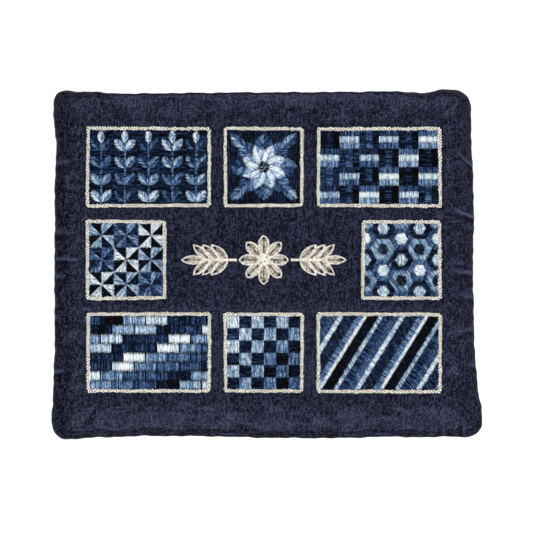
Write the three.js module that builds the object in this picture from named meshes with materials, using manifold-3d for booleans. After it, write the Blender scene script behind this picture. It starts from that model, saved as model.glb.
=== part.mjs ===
// An embroidered cloth bag that closes with a zip along its top edge, lying flat on its back.
// Millimetres. X runs across the bag, Y from the closed bottom edge to the mouth, Z up out of its face.
import * as THREE from "three";
import { mergeVertices } from "three/addons/utils/BufferGeometryUtils.js";
import Module from "manifold-3d";

const wasm = await Module();
wasm.setup();

// The bag's size: its widest and tallest reach, and the two panels above and below the side seam
const BAG_WIDTH = 240;
const BAG_HEIGHT = 195.4;
const SEAM_HEIGHT = 6;
const FRONT_RISE = 8;
const SEAM_GAP = 0.3;
const SEAM_BAND = 0.6;
const WALL = 1.8;

// How the cloth rolls over from the seam, and how far the embroidered field lies below the rolled rim
const FRONT_ROLL = 15;
const BACK_ROLL = 12;
const ROLL_ROUNDNESS = 2.2;
const FIELD_SINK = 0.9;
const SINK_START = 11;
const SINK_REACH = 13;

// The corner radii, and the most that each side draws in from the widest reach
const SHARPEST_CORNER = 1;
const CORNER_TOP_LEFT = 6;
const CORNER_TOP_RIGHT = 9.5;
const CORNER_BOTTOM_LEFT = 9.5;
const CORNER_BOTTOM_RIGHT = 10.5;
const LEFT_DRAW = 2.7;
const RIGHT_DRAW = 6.1;
const TOP_DRAW = 2.9;
const BOTTOM_DRAW = 2.5;

// Each side's line: along is a share of the side from its left or lower end, in a share of its draw
const LEFT_LINE = [
  { along: 0.0, in: 0.0 },
  { along: 0.06, in: 0.0 },
  { along: 0.12, in: 0.31 },
  { along: 0.28, in: 0.66 },
  { along: 0.5, in: 0.6 },
  { along: 0.63, in: 0.7 },
  { along: 0.72, in: 0.64 },
  { along: 0.83, in: 1.0 },
  { along: 0.93, in: 0.43 },
  { along: 1.0, in: 0.43 },
];
const RIGHT_LINE = [
  { along: 0.0, in: 0.0 },
  { along: 0.07, in: 0.0 },
  { along: 0.16, in: 0.46 },
  { along: 0.28, in: 0.73 },
  { along: 0.5, in: 0.84 },
  { along: 0.63, in: 0.75 },
  { along: 0.78, in: 0.85 },
  { along: 0.84, in: 1.0 },
  { along: 1.0, in: 1.0 },
];
const TOP_LINE = [
  { along: 0.0, in: 0.2 },
  { along: 0.03, in: 0.2 },
  { along: 0.06, in: 0.44 },
  { along: 0.19, in: 0.84 },
  { along: 0.26, in: 0.69 },
  { along: 0.47, in: 0.5 },
  { along: 0.68, in: 0.44 },
  { along: 0.83, in: 0.5 },
  { along: 0.866, in: 1.0 },
  { along: 0.9, in: 0.18 },
  { along: 0.94, in: 0.0 },
  { along: 1.0, in: 0.0 },
];
const BOTTOM_LINE = [
  { along: 0.0, in: 0.0 },
  { along: 0.036, in: 0.0 },
  { along: 0.09, in: 0.62 },
  { along: 0.23, in: 1.0 },
  { along: 0.33, in: 0.96 },
  { along: 0.54, in: 0.47 },
  { along: 0.65, in: 0.4 },
  { along: 0.81, in: 0.82 },
  { along: 0.86, in: 0.62 },
  { along: 0.93, in: 0.92 },
  { along: 1.0, in: 0.62 },
];

// The main folds that run in from the seams. Along is a share of the side, reach a share of FOLD_REACH,
// rise how far the fold climbs along its side for each unit that it runs in, width and depth are shares.
const FOLD_REACH = 18;
const FOLD_WIDTH = 2.6;
const FOLD_DEPTH = 0.8;
const RIDGE_SHARE = 0.6;
const RIDGE_OFFSET = 1.6;
const FOLDS = [
  { side: "right", along: 0.78, reach: 0.7, rise: 1.0, width: 0.9, depth: 0.9 },
  { side: "right", along: 0.632, reach: 1.0, rise: 0.38, width: 1.0, depth: 1.0 },
  { side: "right", along: 0.478, reach: 0.8, rise: 0.0, width: 0.8, depth: 0.8 },
  { side: "right", along: 0.31, reach: 0.7, rise: 0.1, width: 0.8, depth: 0.6 },
  { side: "right", along: 0.215, reach: 0.5, rise: 0.0, width: 0.8, depth: 0.8 },
  { side: "left", along: 0.51, reach: 0.9, rise: 0.0, width: 0.8, depth: 0.7 },
  { side: "left", along: 0.193, reach: 0.5, rise: 0.0, width: 0.8, depth: 0.9 },
  { side: "bottom", along: 0.845, reach: 1.0, rise: 0.0, width: 0.9, depth: 0.7 },
  { side: "bottom", along: 0.9, reach: 0.9, rise: 0.0, width: 0.9, depth: 0.6 },
];

// The open mouth, and the zip behind its lips: a tape and a coil rib on each, a slider and its pull
const ZIP_LEFT_MARGIN = 14;
const ZIP_RIGHT_MARGIN = 32;
const MOUTH_TAPER = 30;
const MOUTH_HALF = 3.8;
const TAPE_INSET = 1.2;
const TAPE_WIDTH = 6.3;
const TAPE_THICKNESS = 0.9;
const COIL_HEIGHT = 1.0;
const COIL_DEPTH = 1.6;
const SLIDER_LENGTH = 8.5;
const SLIDER_DEPTH = 4.4;
const SLIDER_BITE = 0.5;
const SLIDER_FROM_END = 15;
const PULL_LENGTH = 18;
const PULL_WIDTH = 3.0;
const PULL_THICKNESS = 1.1;
const PULL_RECESS = 1.0;
const PULL_BITE = 1.0;

// The embroidered field: its margins from the widest reach, the gaps and the middle column's width
const FIELD_LEFT = 20;
const FIELD_RIGHT = 23.4;
const FIELD_TOP = 21.6;
const FIELD_BOTTOM = 26.5;
const BLOCK_GAP = 6.4;
const SQUARE_WIDTH = 44.8;

// The stitched blocks and the cords round them, which lie a seating gap above the cloth
const SEAT_GAP = 0.3;
const STITCH_THICKNESS = 0.8;
const CORD_WIDTH = 2.5;
const CORD_HEIGHT = 1.5;
const CORD_CLEARANCE = 0.3;

// The cord's section: across is a share of its width, up a share of its height
const CORD_SECTION = [
  { across: 0.0, up: 0.0 },
  { across: 0.04, up: 0.6 },
  { across: 0.3, up: 1.0 },
  { across: 0.7, up: 1.0 },
  { across: 0.96, up: 0.6 },
  { across: 1.0, up: 0.0 },
];

// The sprig in the middle of the field
const ROSETTE_RADIUS = 13.5;
const ROSETTE_PETALS = 8;
const ROSETTE_EYE = 3.4;
const PETAL_WIDTH = 2.8;
const PETAL_BELLY = 0.8;
const SPRIG_START = 15;
const SPRIG_LENGTH = 20;
const STEM_WIDTH = 1.6;
const LEAF_LENGTH = 12;
const LEAF_WIDTH = 2.2;
const LEAF_BELLY = 0.45;
const LEAF_PAIRS = 3;
const FIRST_LEAF = 0.25;
const LEAF_ANGLE = 0.75;
const SPRIG_THICKNESS = 1.0;

// Points closer than this are one point
const MERGE_DISTANCE = 1e-4;

// The least height of the lining over the lip, which keeps the hollow open down to it
const LINING_RISE = 0.01;

// The steps of the grids that the cloth is drawn with: how far each line lies from the edge
const FRONT_STEPS = [0, 0.8, 2.4, 5, 8.5, 12.5, 18, 26];
const BACK_STEPS = [0, 0.8, 2.5, 5.5, BACK_ROLL];
const INNER_STEPS = [0, TAPE_INSET, TAPE_INSET + TAPE_WIDTH / 3, TAPE_INSET + TAPE_WIDTH, 13, 22];
const OUTER_MIDDLE_STEP = 18;
const INNER_MIDDLE_STEP = 40;
const MOUTH_STEPS = 4;
const CLOSEST_LINES = 1;
const BLOCK_STEP = 9;

const CLOTH = { color: 0x24263a, roughness: 0.62, metalness: 0.0 };
const CLOTH_BACK = { color: 0x222438, roughness: 0.65, metalness: 0.0 };
const CREAM_CORD = { color: 0xd9cfb8, roughness: 0.5, metalness: 0.1 };
const CREAM_SATIN = { color: 0xcfc4aa, roughness: 0.45, metalness: 0.1 };
const ZIP_NAVY = { color: 0x1b1c2b, roughness: 0.55, metalness: 0.0 };
const STITCH_LIGHT = { color: 0x8fa9c4, roughness: 0.45, metalness: 0.0 };
const STITCH_MIDDLE = { color: 0x47678f, roughness: 0.45, metalness: 0.0 };
const STITCH_DEEP = { color: 0x263f66, roughness: 0.45, metalness: 0.0 };

// The blocks of the field, three rows of them: the column and row that each fills, and its thread
const BLOCKS = [
  { name: "leaves", column: "left", row: "top", thread: STITCH_MIDDLE },
  { name: "flower", column: "middle", row: "top", thread: STITCH_DEEP },
  { name: "basket", column: "right", row: "top", thread: STITCH_LIGHT },
  { name: "pinwheel", column: "far_left", row: "centre", thread: STITCH_LIGHT },
  { name: "honeycomb", column: "far_right", row: "centre", thread: STITCH_DEEP },
  { name: "bricks", column: "left", row: "bottom", thread: STITCH_LIGHT },
  { name: "chequer", column: "middle", row: "bottom", thread: STITCH_MIDDLE },
  { name: "stripes", column: "right", row: "bottom", thread: STITCH_DEEP },
];

const { clamp, lerp, smoothstep } = THREE.MathUtils;

// A line's draw at a share of its side, rounded smoothly from row to row
function drawAt(line, along) {
  const share = clamp(along, 0, 1);
  const next = line.findIndex((row) => row.along >= share);
  if (next <= 0) return line[0].in;
  const [a, b] = [line[next - 1], line[next]];
  return lerp(a.in, b.in, smoothstep(share, a.along, b.along));
}

// How far a round corner cuts into its side, at a distance from the side's end
function cornerCut(radius, fromEnd) {
  if (fromEnd >= radius) return 0;
  return radius - Math.sqrt(radius ** 2 - (radius - Math.max(fromEnd, 0)) ** 2);
}

// The outline's lower and upper edge at a place across the bag, drawn in by an inset
function edgeBottom(x, inset) {
  return -BAG_HEIGHT / 2 + inset + BOTTOM_DRAW * drawAt(BOTTOM_LINE, x / BAG_WIDTH + 0.5);
}
function edgeTop(x, inset) {
  return BAG_HEIGHT / 2 - inset - TOP_DRAW * drawAt(TOP_LINE, x / BAG_WIDTH + 0.5);
}

// The outline's left and right edge at a share of the bag's height, corners included
function edgeLeft(share, inset) {
  const height = BAG_HEIGHT - 2 * inset;
  const lower = cornerCut(Math.max(CORNER_BOTTOM_LEFT - inset, SHARPEST_CORNER), share * height);
  const upper = cornerCut(Math.max(CORNER_TOP_LEFT - inset, SHARPEST_CORNER), (1 - share) * height);
  return -BAG_WIDTH / 2 + inset + LEFT_DRAW * drawAt(LEFT_LINE, share) + lower + upper;
}
function edgeRight(share, inset) {
  const height = BAG_HEIGHT - 2 * inset;
  const lower = cornerCut(Math.max(CORNER_BOTTOM_RIGHT - inset, SHARPEST_CORNER), share * height);
  const upper = cornerCut(Math.max(CORNER_TOP_RIGHT - inset, SHARPEST_CORNER), (1 - share) * height);
  return BAG_WIDTH / 2 - inset - RIGHT_DRAW * drawAt(RIGHT_LINE, share) - lower - upper;
}

// A point's share of the height between the two edges, and its distance from each of the four
function edgeDistances(x, y, inset) {
  const [low, high] = [edgeBottom(x, inset), edgeTop(x, inset)];
  const share = clamp((y - low) / (high - low), 0, 1);
  return {
    left: x - edgeLeft(share, inset),
    right: edgeRight(share, inset) - x,
    bottom: y - low,
    top: high - y,
  };
}

// The cloth's roll from the seam, as a share of its height: 0 at the edge, 1 past the roll's reach
function roll(distance, reach) {
  const share = clamp(distance / reach, 0, 1);
  return (1 - (1 - share) ** ROLL_ROUNDNESS) ** (1 / ROLL_ROUNDNESS);
}

// How far a panel's lip is lifted from the seam's level, which opens the mouth along the top edge
const zipLeft = -BAG_WIDTH / 2 + ZIP_LEFT_MARGIN;
const zipRight = BAG_WIDTH / 2 - ZIP_RIGHT_MARGIN;
function lipLift(x, fromTop, reach) {
  const open = smoothstep(x - zipLeft, 0, MOUTH_TAPER) * smoothstep(zipRight - x, 0, MOUTH_TAPER);
  return MOUTH_HALF * open * (1 - smoothstep(fromTop, 0, reach));
}

// A fold's line at a point: how far the point lies in from the fold's side, and off the fold
function foldPlace(fold, x, y, edges) {
  if (fold.side === "bottom") {
    return { inward: edges.bottom, off: x - (fold.along - 0.5) * BAG_WIDTH };
  }
  const start = (fold.along - 0.5) * BAG_HEIGHT;
  const inward = edges[fold.side];
  return { inward, off: y - start - fold.rise * inward };
}

// A fold is a valley with a soft ridge on its upper side, which dies away as it runs in
function foldDepth(x, y, edges) {
  let depth = 0;
  for (const fold of FOLDS) {
    const { inward, off } = foldPlace(fold, x, y, edges);
    const fade = 1 - smoothstep(inward, 0, FOLD_REACH * fold.reach);
    const start = smoothstep(inward, 0, WALL);
    const across = off / (FOLD_WIDTH * fold.width);
    const valley = Math.exp(-(across ** 2));
    const ridge = RIDGE_SHARE * Math.exp(-((across - RIDGE_OFFSET) ** 2));
    depth += FOLD_DEPTH * fold.depth * fade * start * (valley - ridge);
  }
  return depth;
}

// A panel's outer and inner face, as heights outward from the seam's level
function outerHeight(panel, x, y) {
  const edges = edgeDistances(x, y, 0);
  const [side, end] = [Math.min(edges.left, edges.right), Math.min(edges.bottom, edges.top)];
  const rim = lipLift(x, edges.top, panel.roll) + SEAM_BAND;
  const round = roll(side, panel.roll) * roll(end, panel.roll);
  const fold = panel.folded ? foldDepth(x, y, edges) : 0;
  return rim + (panel.rise - rim) * round - panel.sink * settle(side) * settle(end) - fold;
}
function innerHeight(panel, x, y) {
  const edges = edgeDistances(x, y, WALL);
  const [side, end] = [Math.min(edges.left, edges.right), Math.min(edges.bottom, edges.top)];
  const rim = lipLift(x, edges.top + WALL, panel.roll);
  const round = roll(side, panel.roll - WALL) * roll(end, panel.roll - WALL);
  const sink = panel.sink * settle(side + WALL) * settle(end + WALL);
  return rim + (panel.rise - WALL - rim) * round - sink;
}
function settle(distance) {
  return smoothstep(distance, SINK_START, SINK_START + SINK_REACH);
}

const FRONT = {
  rise: FRONT_RISE,
  roll: FRONT_ROLL,
  sink: FIELD_SINK,
  folded: true,
  steps: FRONT_STEPS,
  way: 1,
};
const BACK = {
  rise: SEAM_HEIGHT - SEAM_GAP / 2,
  roll: BACK_ROLL,
  sink: 0,
  folded: false,
  steps: BACK_STEPS,
  way: -1,
};

// The front face's height above the table, which what is sewn on the cloth follows
function faceHeight(x, y) {
  return SEAM_HEIGHT + SEAM_GAP / 2 + outerHeight(FRONT, x, y);
}

// Grid lines across a length, as shares: close near both ends, and open in the middle. The extra
// lines are kept where no other line is close, and the middle lines where none is nearby.
function gridShares(length, steps, middleStep, extra) {
  const last = steps.at(-1);
  const count = Math.max(1, Math.round((length - 2 * last) / middleStep));
  const middle = Array.from({ length: count }, (_, i) => lerp(last, length - last, i / count));
  const lines = [...steps, ...steps.map((step) => length - step)];
  const keep = (places, nearest) => {
    for (const place of places) {
      if (lines.every((line) => Math.abs(line - place) > nearest)) lines.push(place);
    }
  };
  keep(extra, CLOSEST_LINES);
  keep(middle, middleStep / 3);
  return lines.map((line) => line / length).sort((a, b) => a - b);
}

// The lines that a fold needs through its valley and beside it
function foldLines(length, ...sides) {
  const rows = FOLDS.filter((fold) => sides.includes(fold.side));
  return rows.flatMap((fold) => [-1, 0, 1].map((n) => fold.along * length + n * FOLD_WIDTH));
}

// The lines across the bag that the mouth's tapers need, from the left edge
function mouthLines() {
  const places = Array.from({ length: MOUTH_STEPS + 1 }, (_, i) => (i * MOUTH_TAPER) / MOUTH_STEPS);
  return places.flatMap((place) => [
    ZIP_LEFT_MARGIN + place,
    BAG_WIDTH - ZIP_RIGHT_MARGIN - place,
  ]);
}

// A point of a sheet from its shares across and up the bag
function sheetPoint(u, v, inset) {
  const x = lerp(edgeLeft(v, inset), edgeRight(v, inset), u);
  return { x, y: lerp(edgeBottom(x, inset), edgeTop(x, inset), v) };
}

// A closed geometry from points and faces
function geometryOf(points, faces) {
  const geometry = new THREE.BufferGeometry();
  geometry.setAttribute("position", new THREE.Float32BufferAttribute(points.flat(), 3));
  geometry.setIndex(faces.flat());
  return geometry;
}

// A solid under a sheet of points: the sheet on top, a skirt down its border, and a floor
function underSheet(us, vs, inset, topHeight, skirtHeight) {
  const [columns, rows] = [us.length, vs.length];
  const points = [];
  for (const v of vs) {
    for (const u of us) {
      const { x, y } = sheetPoint(u, v, inset);
      points.push([x, y, topHeight(x, y)]);
    }
  }
  const at = (i, j) => j * columns + i;
  const faces = [];
  for (let j = 0; j + 1 < rows; j += 1) {
    for (let i = 0; i + 1 < columns; i += 1) {
      faces.push([at(i, j), at(i + 1, j), at(i + 1, j + 1)]);
      faces.push([at(i, j), at(i + 1, j + 1), at(i, j + 1)]);
    }
  }
  const border = [];
  for (let i = 0; i < columns - 1; i += 1) border.push(at(i, 0));
  for (let j = 0; j < rows - 1; j += 1) border.push(at(columns - 1, j));
  for (let i = columns - 1; i > 0; i -= 1) border.push(at(i, rows - 1));
  for (let j = rows - 1; j > 0; j -= 1) border.push(at(0, j));
  const first = points.length;
  for (const corner of border) {
    const [x, y] = points[corner];
    points.push([x, y, skirtHeight(x, y)]);
  }
  const middle = points.length;
  points.push([0, 0, skirtHeight(0, 0)]);
  border.forEach((corner, i) => {
    const n = (i + 1) % border.length;
    faces.push([corner, first + i, first + n]);
    faces.push([corner, first + n, border[n]]);
    faces.push([first + n, first + i, middle]);
  });
  return geometryOf(points, faces);
}

// A geometry as a solid that can be joined and cut, and back again
function solidOf(geometry) {
  const bare = geometry.clone();
  bare.deleteAttribute("normal");
  bare.deleteAttribute("uv");
  const merged = mergeVertices(bare, MERGE_DISTANCE);
  return new wasm.Manifold(
    new wasm.Mesh({
      numProp: 3,
      vertProperties: merged.attributes.position.array,
      triVerts: new Uint32Array(merged.index.array),
    }),
  );
}
function geometryFrom(solid) {
  const mesh = solid.getMesh();
  const geometry = new THREE.BufferGeometry();
  geometry.setAttribute("position", new THREE.BufferAttribute(mesh.vertProperties, 3));
  geometry.setIndex(new THREE.BufferAttribute(mesh.triVerts, 1));
  geometry.computeVertexNormals();
  return geometry;
}

// Turns a geometry that was drawn outward from the seam into its place in the bag
function placePanel(geometry, way) {
  const position = geometry.attributes.position;
  for (let i = 0; i < position.count; i += 1) {
    position.setZ(i, SEAM_HEIGHT + way * (SEAM_GAP / 2 + position.getZ(i)));
  }
  if (way < 0) {
    const index = geometry.index.array;
    for (let i = 0; i < index.length; i += 3) {
      [index[i + 1], index[i + 2]] = [index[i + 2], index[i + 1]];
    }
  }
  return geometry;
}

// The lining's grid lines, which the zip's tapes share
const liningWidth = BAG_WIDTH - 2 * WALL;
const liningHeight = BAG_HEIGHT - 2 * WALL;
const liningMouth = mouthLines().map((place) => place - WALL);
const liningUs = gridShares(liningWidth, INNER_STEPS, INNER_MIDDLE_STEP, liningMouth);
const liningVs = gridShares(liningHeight, INNER_STEPS, INNER_MIDDLE_STEP, []);

// A cloth panel: the solid under its outer face, less the solid under its lining
function panelGeometry(panel) {
  const across = panel.folded ? foldLines(BAG_WIDTH, "bottom") : [];
  const along = panel.folded ? foldLines(BAG_HEIGHT, "left", "right") : [];
  const us = gridShares(BAG_WIDTH, panel.steps, OUTER_MIDDLE_STEP, [...across, ...mouthLines()]);
  const vs = gridShares(BAG_HEIGHT, panel.steps, OUTER_MIDDLE_STEP, along);
  const lip = (x, y) => lipLift(x, edgeDistances(x, y, 0).top, panel.roll);
  const lining = (x, y) => Math.max(innerHeight(panel, x, y), lip(x, y) + LINING_RISE);
  const outer = underSheet(us, vs, 0, (x, y) => outerHeight(panel, x, y), lip);
  const hollow = underSheet(liningUs, liningVs, WALL, lining, (x, y) => lip(x, y) - WALL);
  const shell = solidOf(outer).subtract(solidOf(hollow));
  return placePanel(geometryFrom(shell), panel.way);
}

// A slab between two heights over a rectangle, cut into steps so that it follows the cloth
function slabGeometry(box, low, high) {
  const columns = Math.max(1, Math.round((box.x1 - box.x0) / BLOCK_STEP));
  const rows = Math.max(1, Math.round((box.y1 - box.y0) / BLOCK_STEP));
  const across = columns + 1;
  const layer = across * (rows + 1);
  const points = [];
  for (const height of [high, low]) {
    for (let j = 0; j <= rows; j += 1) {
      for (let i = 0; i <= columns; i += 1) {
        const x = lerp(box.x0, box.x1, i / columns);
        const y = lerp(box.y0, box.y1, j / rows);
        points.push([x, y, height(x, y)]);
      }
    }
  }
  const at = (i, j) => j * across + i;
  const faces = [];
  for (let j = 0; j < rows; j += 1) {
    for (let i = 0; i < columns; i += 1) {
      const [a, b, c, d] = [at(i, j), at(i + 1, j), at(i + 1, j + 1), at(i, j + 1)];
      faces.push([a, b, c], [a, c, d]);
      faces.push([layer + a, layer + c, layer + b], [layer + a, layer + d, layer + c]);
    }
  }
  const wall = (a, b) => faces.push([a, layer + a, layer + b], [a, layer + b, b]);
  for (let i = 0; i < columns; i += 1) wall(at(i, 0), at(i + 1, 0));
  for (let j = 0; j < rows; j += 1) wall(at(columns, j), at(columns, j + 1));
  for (let i = columns; i > 0; i -= 1) wall(at(i, rows), at(i - 1, rows));
  for (let j = rows; j > 0; j -= 1) wall(at(0, j), at(0, j - 1));
  return geometryOf(points, faces);
}

// The field's rectangle, and a block's rectangle in it
const field = {
  x0: -BAG_WIDTH / 2 + FIELD_LEFT,
  x1: BAG_WIDTH / 2 - FIELD_RIGHT,
  y0: -BAG_HEIGHT / 2 + FIELD_BOTTOM,
  y1: BAG_HEIGHT / 2 - FIELD_TOP,
};
const rowHeight = (field.y1 - field.y0 - 2 * BLOCK_GAP) / 3;
const fieldMiddle = { x: (field.x0 + field.x1) / 2, y: (field.y0 + field.y1) / 2 };
function blockBox(block) {
  const columns = {
    left: [field.x0, fieldMiddle.x - SQUARE_WIDTH / 2 - BLOCK_GAP],
    middle: [fieldMiddle.x - SQUARE_WIDTH / 2, fieldMiddle.x + SQUARE_WIDTH / 2],
    right: [fieldMiddle.x + SQUARE_WIDTH / 2 + BLOCK_GAP, field.x1],
    far_left: [field.x0, field.x0 + SQUARE_WIDTH],
    far_right: [field.x1 - SQUARE_WIDTH, field.x1],
  };
  const rows = {
    top: [field.y1 - rowHeight, field.y1],
    centre: [fieldMiddle.y - rowHeight / 2, fieldMiddle.y + rowHeight / 2],
    bottom: [field.y0, field.y0 + rowHeight],
  };
  const [[x0, x1], [y0, y1]] = [columns[block.column], rows[block.row]];
  return { x0, x1, y0, y1 };
}

// A block's fill of satin stitches, inside its cord
function stitchGeometry(box) {
  const inset = CORD_WIDTH + CORD_CLEARANCE;
  const inner = {
    x0: box.x0 + inset,
    x1: box.x1 - inset,
    y0: box.y0 + inset,
    y1: box.y1 - inset,
  };
  const seat = (x, y) => faceHeight(x, y) + SEAT_GAP;
  return slabGeometry(inner, seat, (x, y) => seat(x, y) + STITCH_THICKNESS);
}

// A couched cord round a block: its section carried round the rectangle with mitred corners
function cordGeometry(box) {
  const corners = [
    { x: box.x0, y: box.y0, inX: 1, inY: 1 },
    { x: box.x1, y: box.y0, inX: -1, inY: 1 },
    { x: box.x1, y: box.y1, inX: -1, inY: -1 },
    { x: box.x0, y: box.y1, inX: 1, inY: -1 },
  ];
  const stations = [];
  corners.forEach((from, n) => {
    const to = corners[(n + 1) % corners.length];
    const length = Math.abs(to.x - from.x) + Math.abs(to.y - from.y);
    const count = Math.max(2, Math.round(length / BLOCK_STEP));
    for (let i = 0; i < count; i += 1) {
      const share = i / count;
      const along = to.x === from.x ? "y" : "x";
      stations.push({
        x: lerp(from.x, to.x, share),
        y: lerp(from.y, to.y, share),
        inX: i === 0 || along === "y" ? from.inX : 0,
        inY: i === 0 || along === "x" ? from.inY : 0,
      });
    }
  });
  const section = CORD_SECTION.length;
  const points = stations.flatMap((station) =>
    CORD_SECTION.map((row) => {
      const x = station.x + station.inX * row.across * CORD_WIDTH;
      const y = station.y + station.inY * row.across * CORD_WIDTH;
      return [x, y, faceHeight(x, y) + SEAT_GAP + row.up * CORD_HEIGHT];
    }),
  );
  const faces = [];
  for (let s = 0; s < stations.length; s += 1) {
    const t = (s + 1) % stations.length;
    for (let k = 0; k < section; k += 1) {
      const m = (k + 1) % section;
      const [a, b, c, d] = [s * section + k, t * section + k, t * section + m, s * section + m];
      faces.push([a, b, c], [a, c, d]);
    }
  }
  return geometryOf(points, faces);
}

// A pointed leaf from its root at the origin along X, its half width reached near its belly
function leafSolid(length, halfWidth, belly) {
  const shape = new THREE.Shape();
  shape.moveTo(0, 0);
  shape.quadraticCurveTo(length * belly, 2 * halfWidth, length, 0);
  shape.quadraticCurveTo(length * belly, -2 * halfWidth, 0, 0);
  return extruded(shape);
}
function extruded(shape) {
  const settings = { depth: SPRIG_THICKNESS, bevelEnabled: false, curveSegments: 4 };
  return solidOf(new THREE.ExtrudeGeometry(shape, settings));
}
function discSolid(radius) {
  return extruded(new THREE.Shape().absarc(0, 0, radius, 0, 2 * Math.PI));
}
function turned(solid, angle, x, y) {
  const degrees = THREE.MathUtils.radToDeg(angle);
  return solid.rotate([0, 0, degrees]).translate([x, y, 0]);
}

// The rosette: pointed petals round an eye
function rosetteGeometry() {
  const petal = leafSolid(ROSETTE_RADIUS, PETAL_WIDTH, PETAL_BELLY);
  let rosette = discSolid(ROSETTE_EYE);
  for (let i = 0; i < ROSETTE_PETALS; i += 1) {
    rosette = rosette.add(turned(petal, (2 * Math.PI * i) / ROSETTE_PETALS, 0, 0));
  }
  return geometryFrom(rosette);
}

// A sprig: a straight stem with pairs of leaves and one at its tip
function sprigGeometry() {
  const stemShape = new THREE.Shape();
  const half = STEM_WIDTH / 2;
  stemShape.moveTo(SPRIG_START, -half);
  stemShape.lineTo(SPRIG_START + SPRIG_LENGTH, -half);
  stemShape.lineTo(SPRIG_START + SPRIG_LENGTH, half);
  stemShape.lineTo(SPRIG_START, half);
  let sprig = extruded(stemShape);
  const leaf = leafSolid(LEAF_LENGTH, LEAF_WIDTH, LEAF_BELLY);
  for (let pair = 0; pair < LEAF_PAIRS; pair += 1) {
    const root = SPRIG_START + (SPRIG_LENGTH * (pair + FIRST_LEAF)) / LEAF_PAIRS;
    sprig = sprig.add(turned(leaf, LEAF_ANGLE, root, 0));
    sprig = sprig.add(turned(leaf, -LEAF_ANGLE, root, 0));
  }
  sprig = sprig.add(turned(leaf, 0, SPRIG_START + SPRIG_LENGTH - STEM_WIDTH, 0));
  return geometryFrom(sprig);
}

// One side of the zip: a tape along a panel's lining, with the coil rib at its mouth edge
function zipSide(panel) {
  const topV = (depth) => 1 - depth / liningHeight;
  const rows = INNER_STEPS.slice(1, 4);
  const inMouth = (u) => {
    const { x } = sheetPoint(u, topV(TAPE_INSET), WALL);
    return x > zipLeft && x < zipRight;
  };
  const stations = liningUs.filter(inMouth);
  const points = [];
  for (const u of stations) {
    const seats = rows.map((depth) => {
      const { x, y } = sheetPoint(u, topV(depth), WALL);
      return { x, y, height: innerHeight(panel, x, y) - SEAT_GAP };
    });
    const [edge, , deep] = seats;
    const coilY = edge.y - COIL_DEPTH;
    const section = [
      ...seats.map(({ x, y, height }) => [x, y, height]),
      [deep.x, deep.y, deep.height - TAPE_THICKNESS],
      [edge.x, coilY, edge.height - TAPE_THICKNESS],
      [edge.x, coilY, edge.height - TAPE_THICKNESS - COIL_HEIGHT],
      [edge.x, edge.y, edge.height - TAPE_THICKNESS - COIL_HEIGHT],
    ];
    points.push(...section);
  }
  return placePanel(sweptGeometry(points, stations.length), panel.way);
}

// A closed solid from equal sections laid one after another
function sweptGeometry(points, count) {
  const size = points.length / count;
  const faces = [];
  for (let s = 0; s + 1 < count; s += 1) {
    for (let k = 0; k < size; k += 1) {
      const m = (k + 1) % size;
      const [a, b, c, d] = [s * size + k, (s + 1) * size + k, (s + 1) * size + m, s * size + m];
      faces.push([a, c, b], [a, d, c]);
    }
  }
  const last = (count - 1) * size;
  const flat = points.slice(0, size).map(([, y, z]) => new THREE.Vector2(y, z));
  for (const [a, b, c] of THREE.ShapeUtils.triangulateShape(flat, [])) {
    faces.push([a, c, b], [last + a, last + b, last + c]);
  }
  return geometryOf(points, faces);
}

// The inner face of a side's coil rib at a place across the bag, out from the seam's level
function ribFace(panel, x) {
  const seat = innerHeight(panel, x, edgeTop(x, WALL) - TAPE_INSET) - SEAT_GAP;
  return SEAM_GAP / 2 + seat - TAPE_THICKNESS - COIL_HEIGHT;
}

// The zip, as one piece: the slider holds its two sides together, and the pull droops from it
function zipGeometry() {
  const sliderRight = zipRight - SLIDER_FROM_END;
  const sliderLeft = sliderRight - SLIDER_LENGTH;
  const front = edgeTop(sliderLeft, WALL) - TAPE_INSET;
  const [upper, lower] = [ribFace(FRONT, sliderLeft), ribFace(BACK, sliderLeft)];
  const slider = boxSolid(
    [sliderLeft, front - SLIDER_DEPTH, SEAM_HEIGHT - lower - SLIDER_BITE],
    [sliderRight, front, SEAM_HEIGHT + upper + SLIDER_BITE],
  );
  const pull = boxSolid(
    [-PULL_LENGTH, -PULL_WIDTH, -PULL_THICKNESS / 2],
    [PULL_BITE, 0, PULL_THICKNESS / 2],
  );
  const drop = ribFace(BACK, sliderLeft - PULL_LENGTH) - PULL_THICKNESS;
  const droop = THREE.MathUtils.radToDeg(Math.asin(drop / PULL_LENGTH));
  const hang = [sliderLeft, front - PULL_RECESS, SEAM_HEIGHT];
  const sides = solidOf(zipSide(FRONT)).add(solidOf(zipSide(BACK)));
  return geometryFrom(sides.add(slider).add(pull.rotate([0, -droop, 0]).translate(hang)));
}

// A box between two corners
function boxSolid(low, high) {
  const box = new THREE.Box3(new THREE.Vector3(...low), new THREE.Vector3(...high));
  const size = box.getSize(new THREE.Vector3());
  const middle = box.getCenter(new THREE.Vector3());
  const geometry = new THREE.BoxGeometry(size.x, size.y, size.z);
  return solidOf(geometry.translate(middle.x, middle.y, middle.z));
}

const bag = new THREE.Group();
function addPiece(name, geometry, finish, parent = bag) {
  const mesh = new THREE.Mesh(geometry, new THREE.MeshStandardMaterial(finish));
  mesh.name = name;
  parent.add(mesh);
  return mesh;
}

addPiece("front_panel", panelGeometry(FRONT), CLOTH);
addPiece("back_panel", panelGeometry(BACK), CLOTH_BACK);
addPiece("zip_closure", zipGeometry(), ZIP_NAVY);

for (const block of BLOCKS) {
  const box = blockBox(block);
  addPiece(`${block.name}_stitching`, stitchGeometry(box), block.thread);
  addPiece(`${block.name}_cord`, cordGeometry(box), CREAM_CORD);
}

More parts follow.
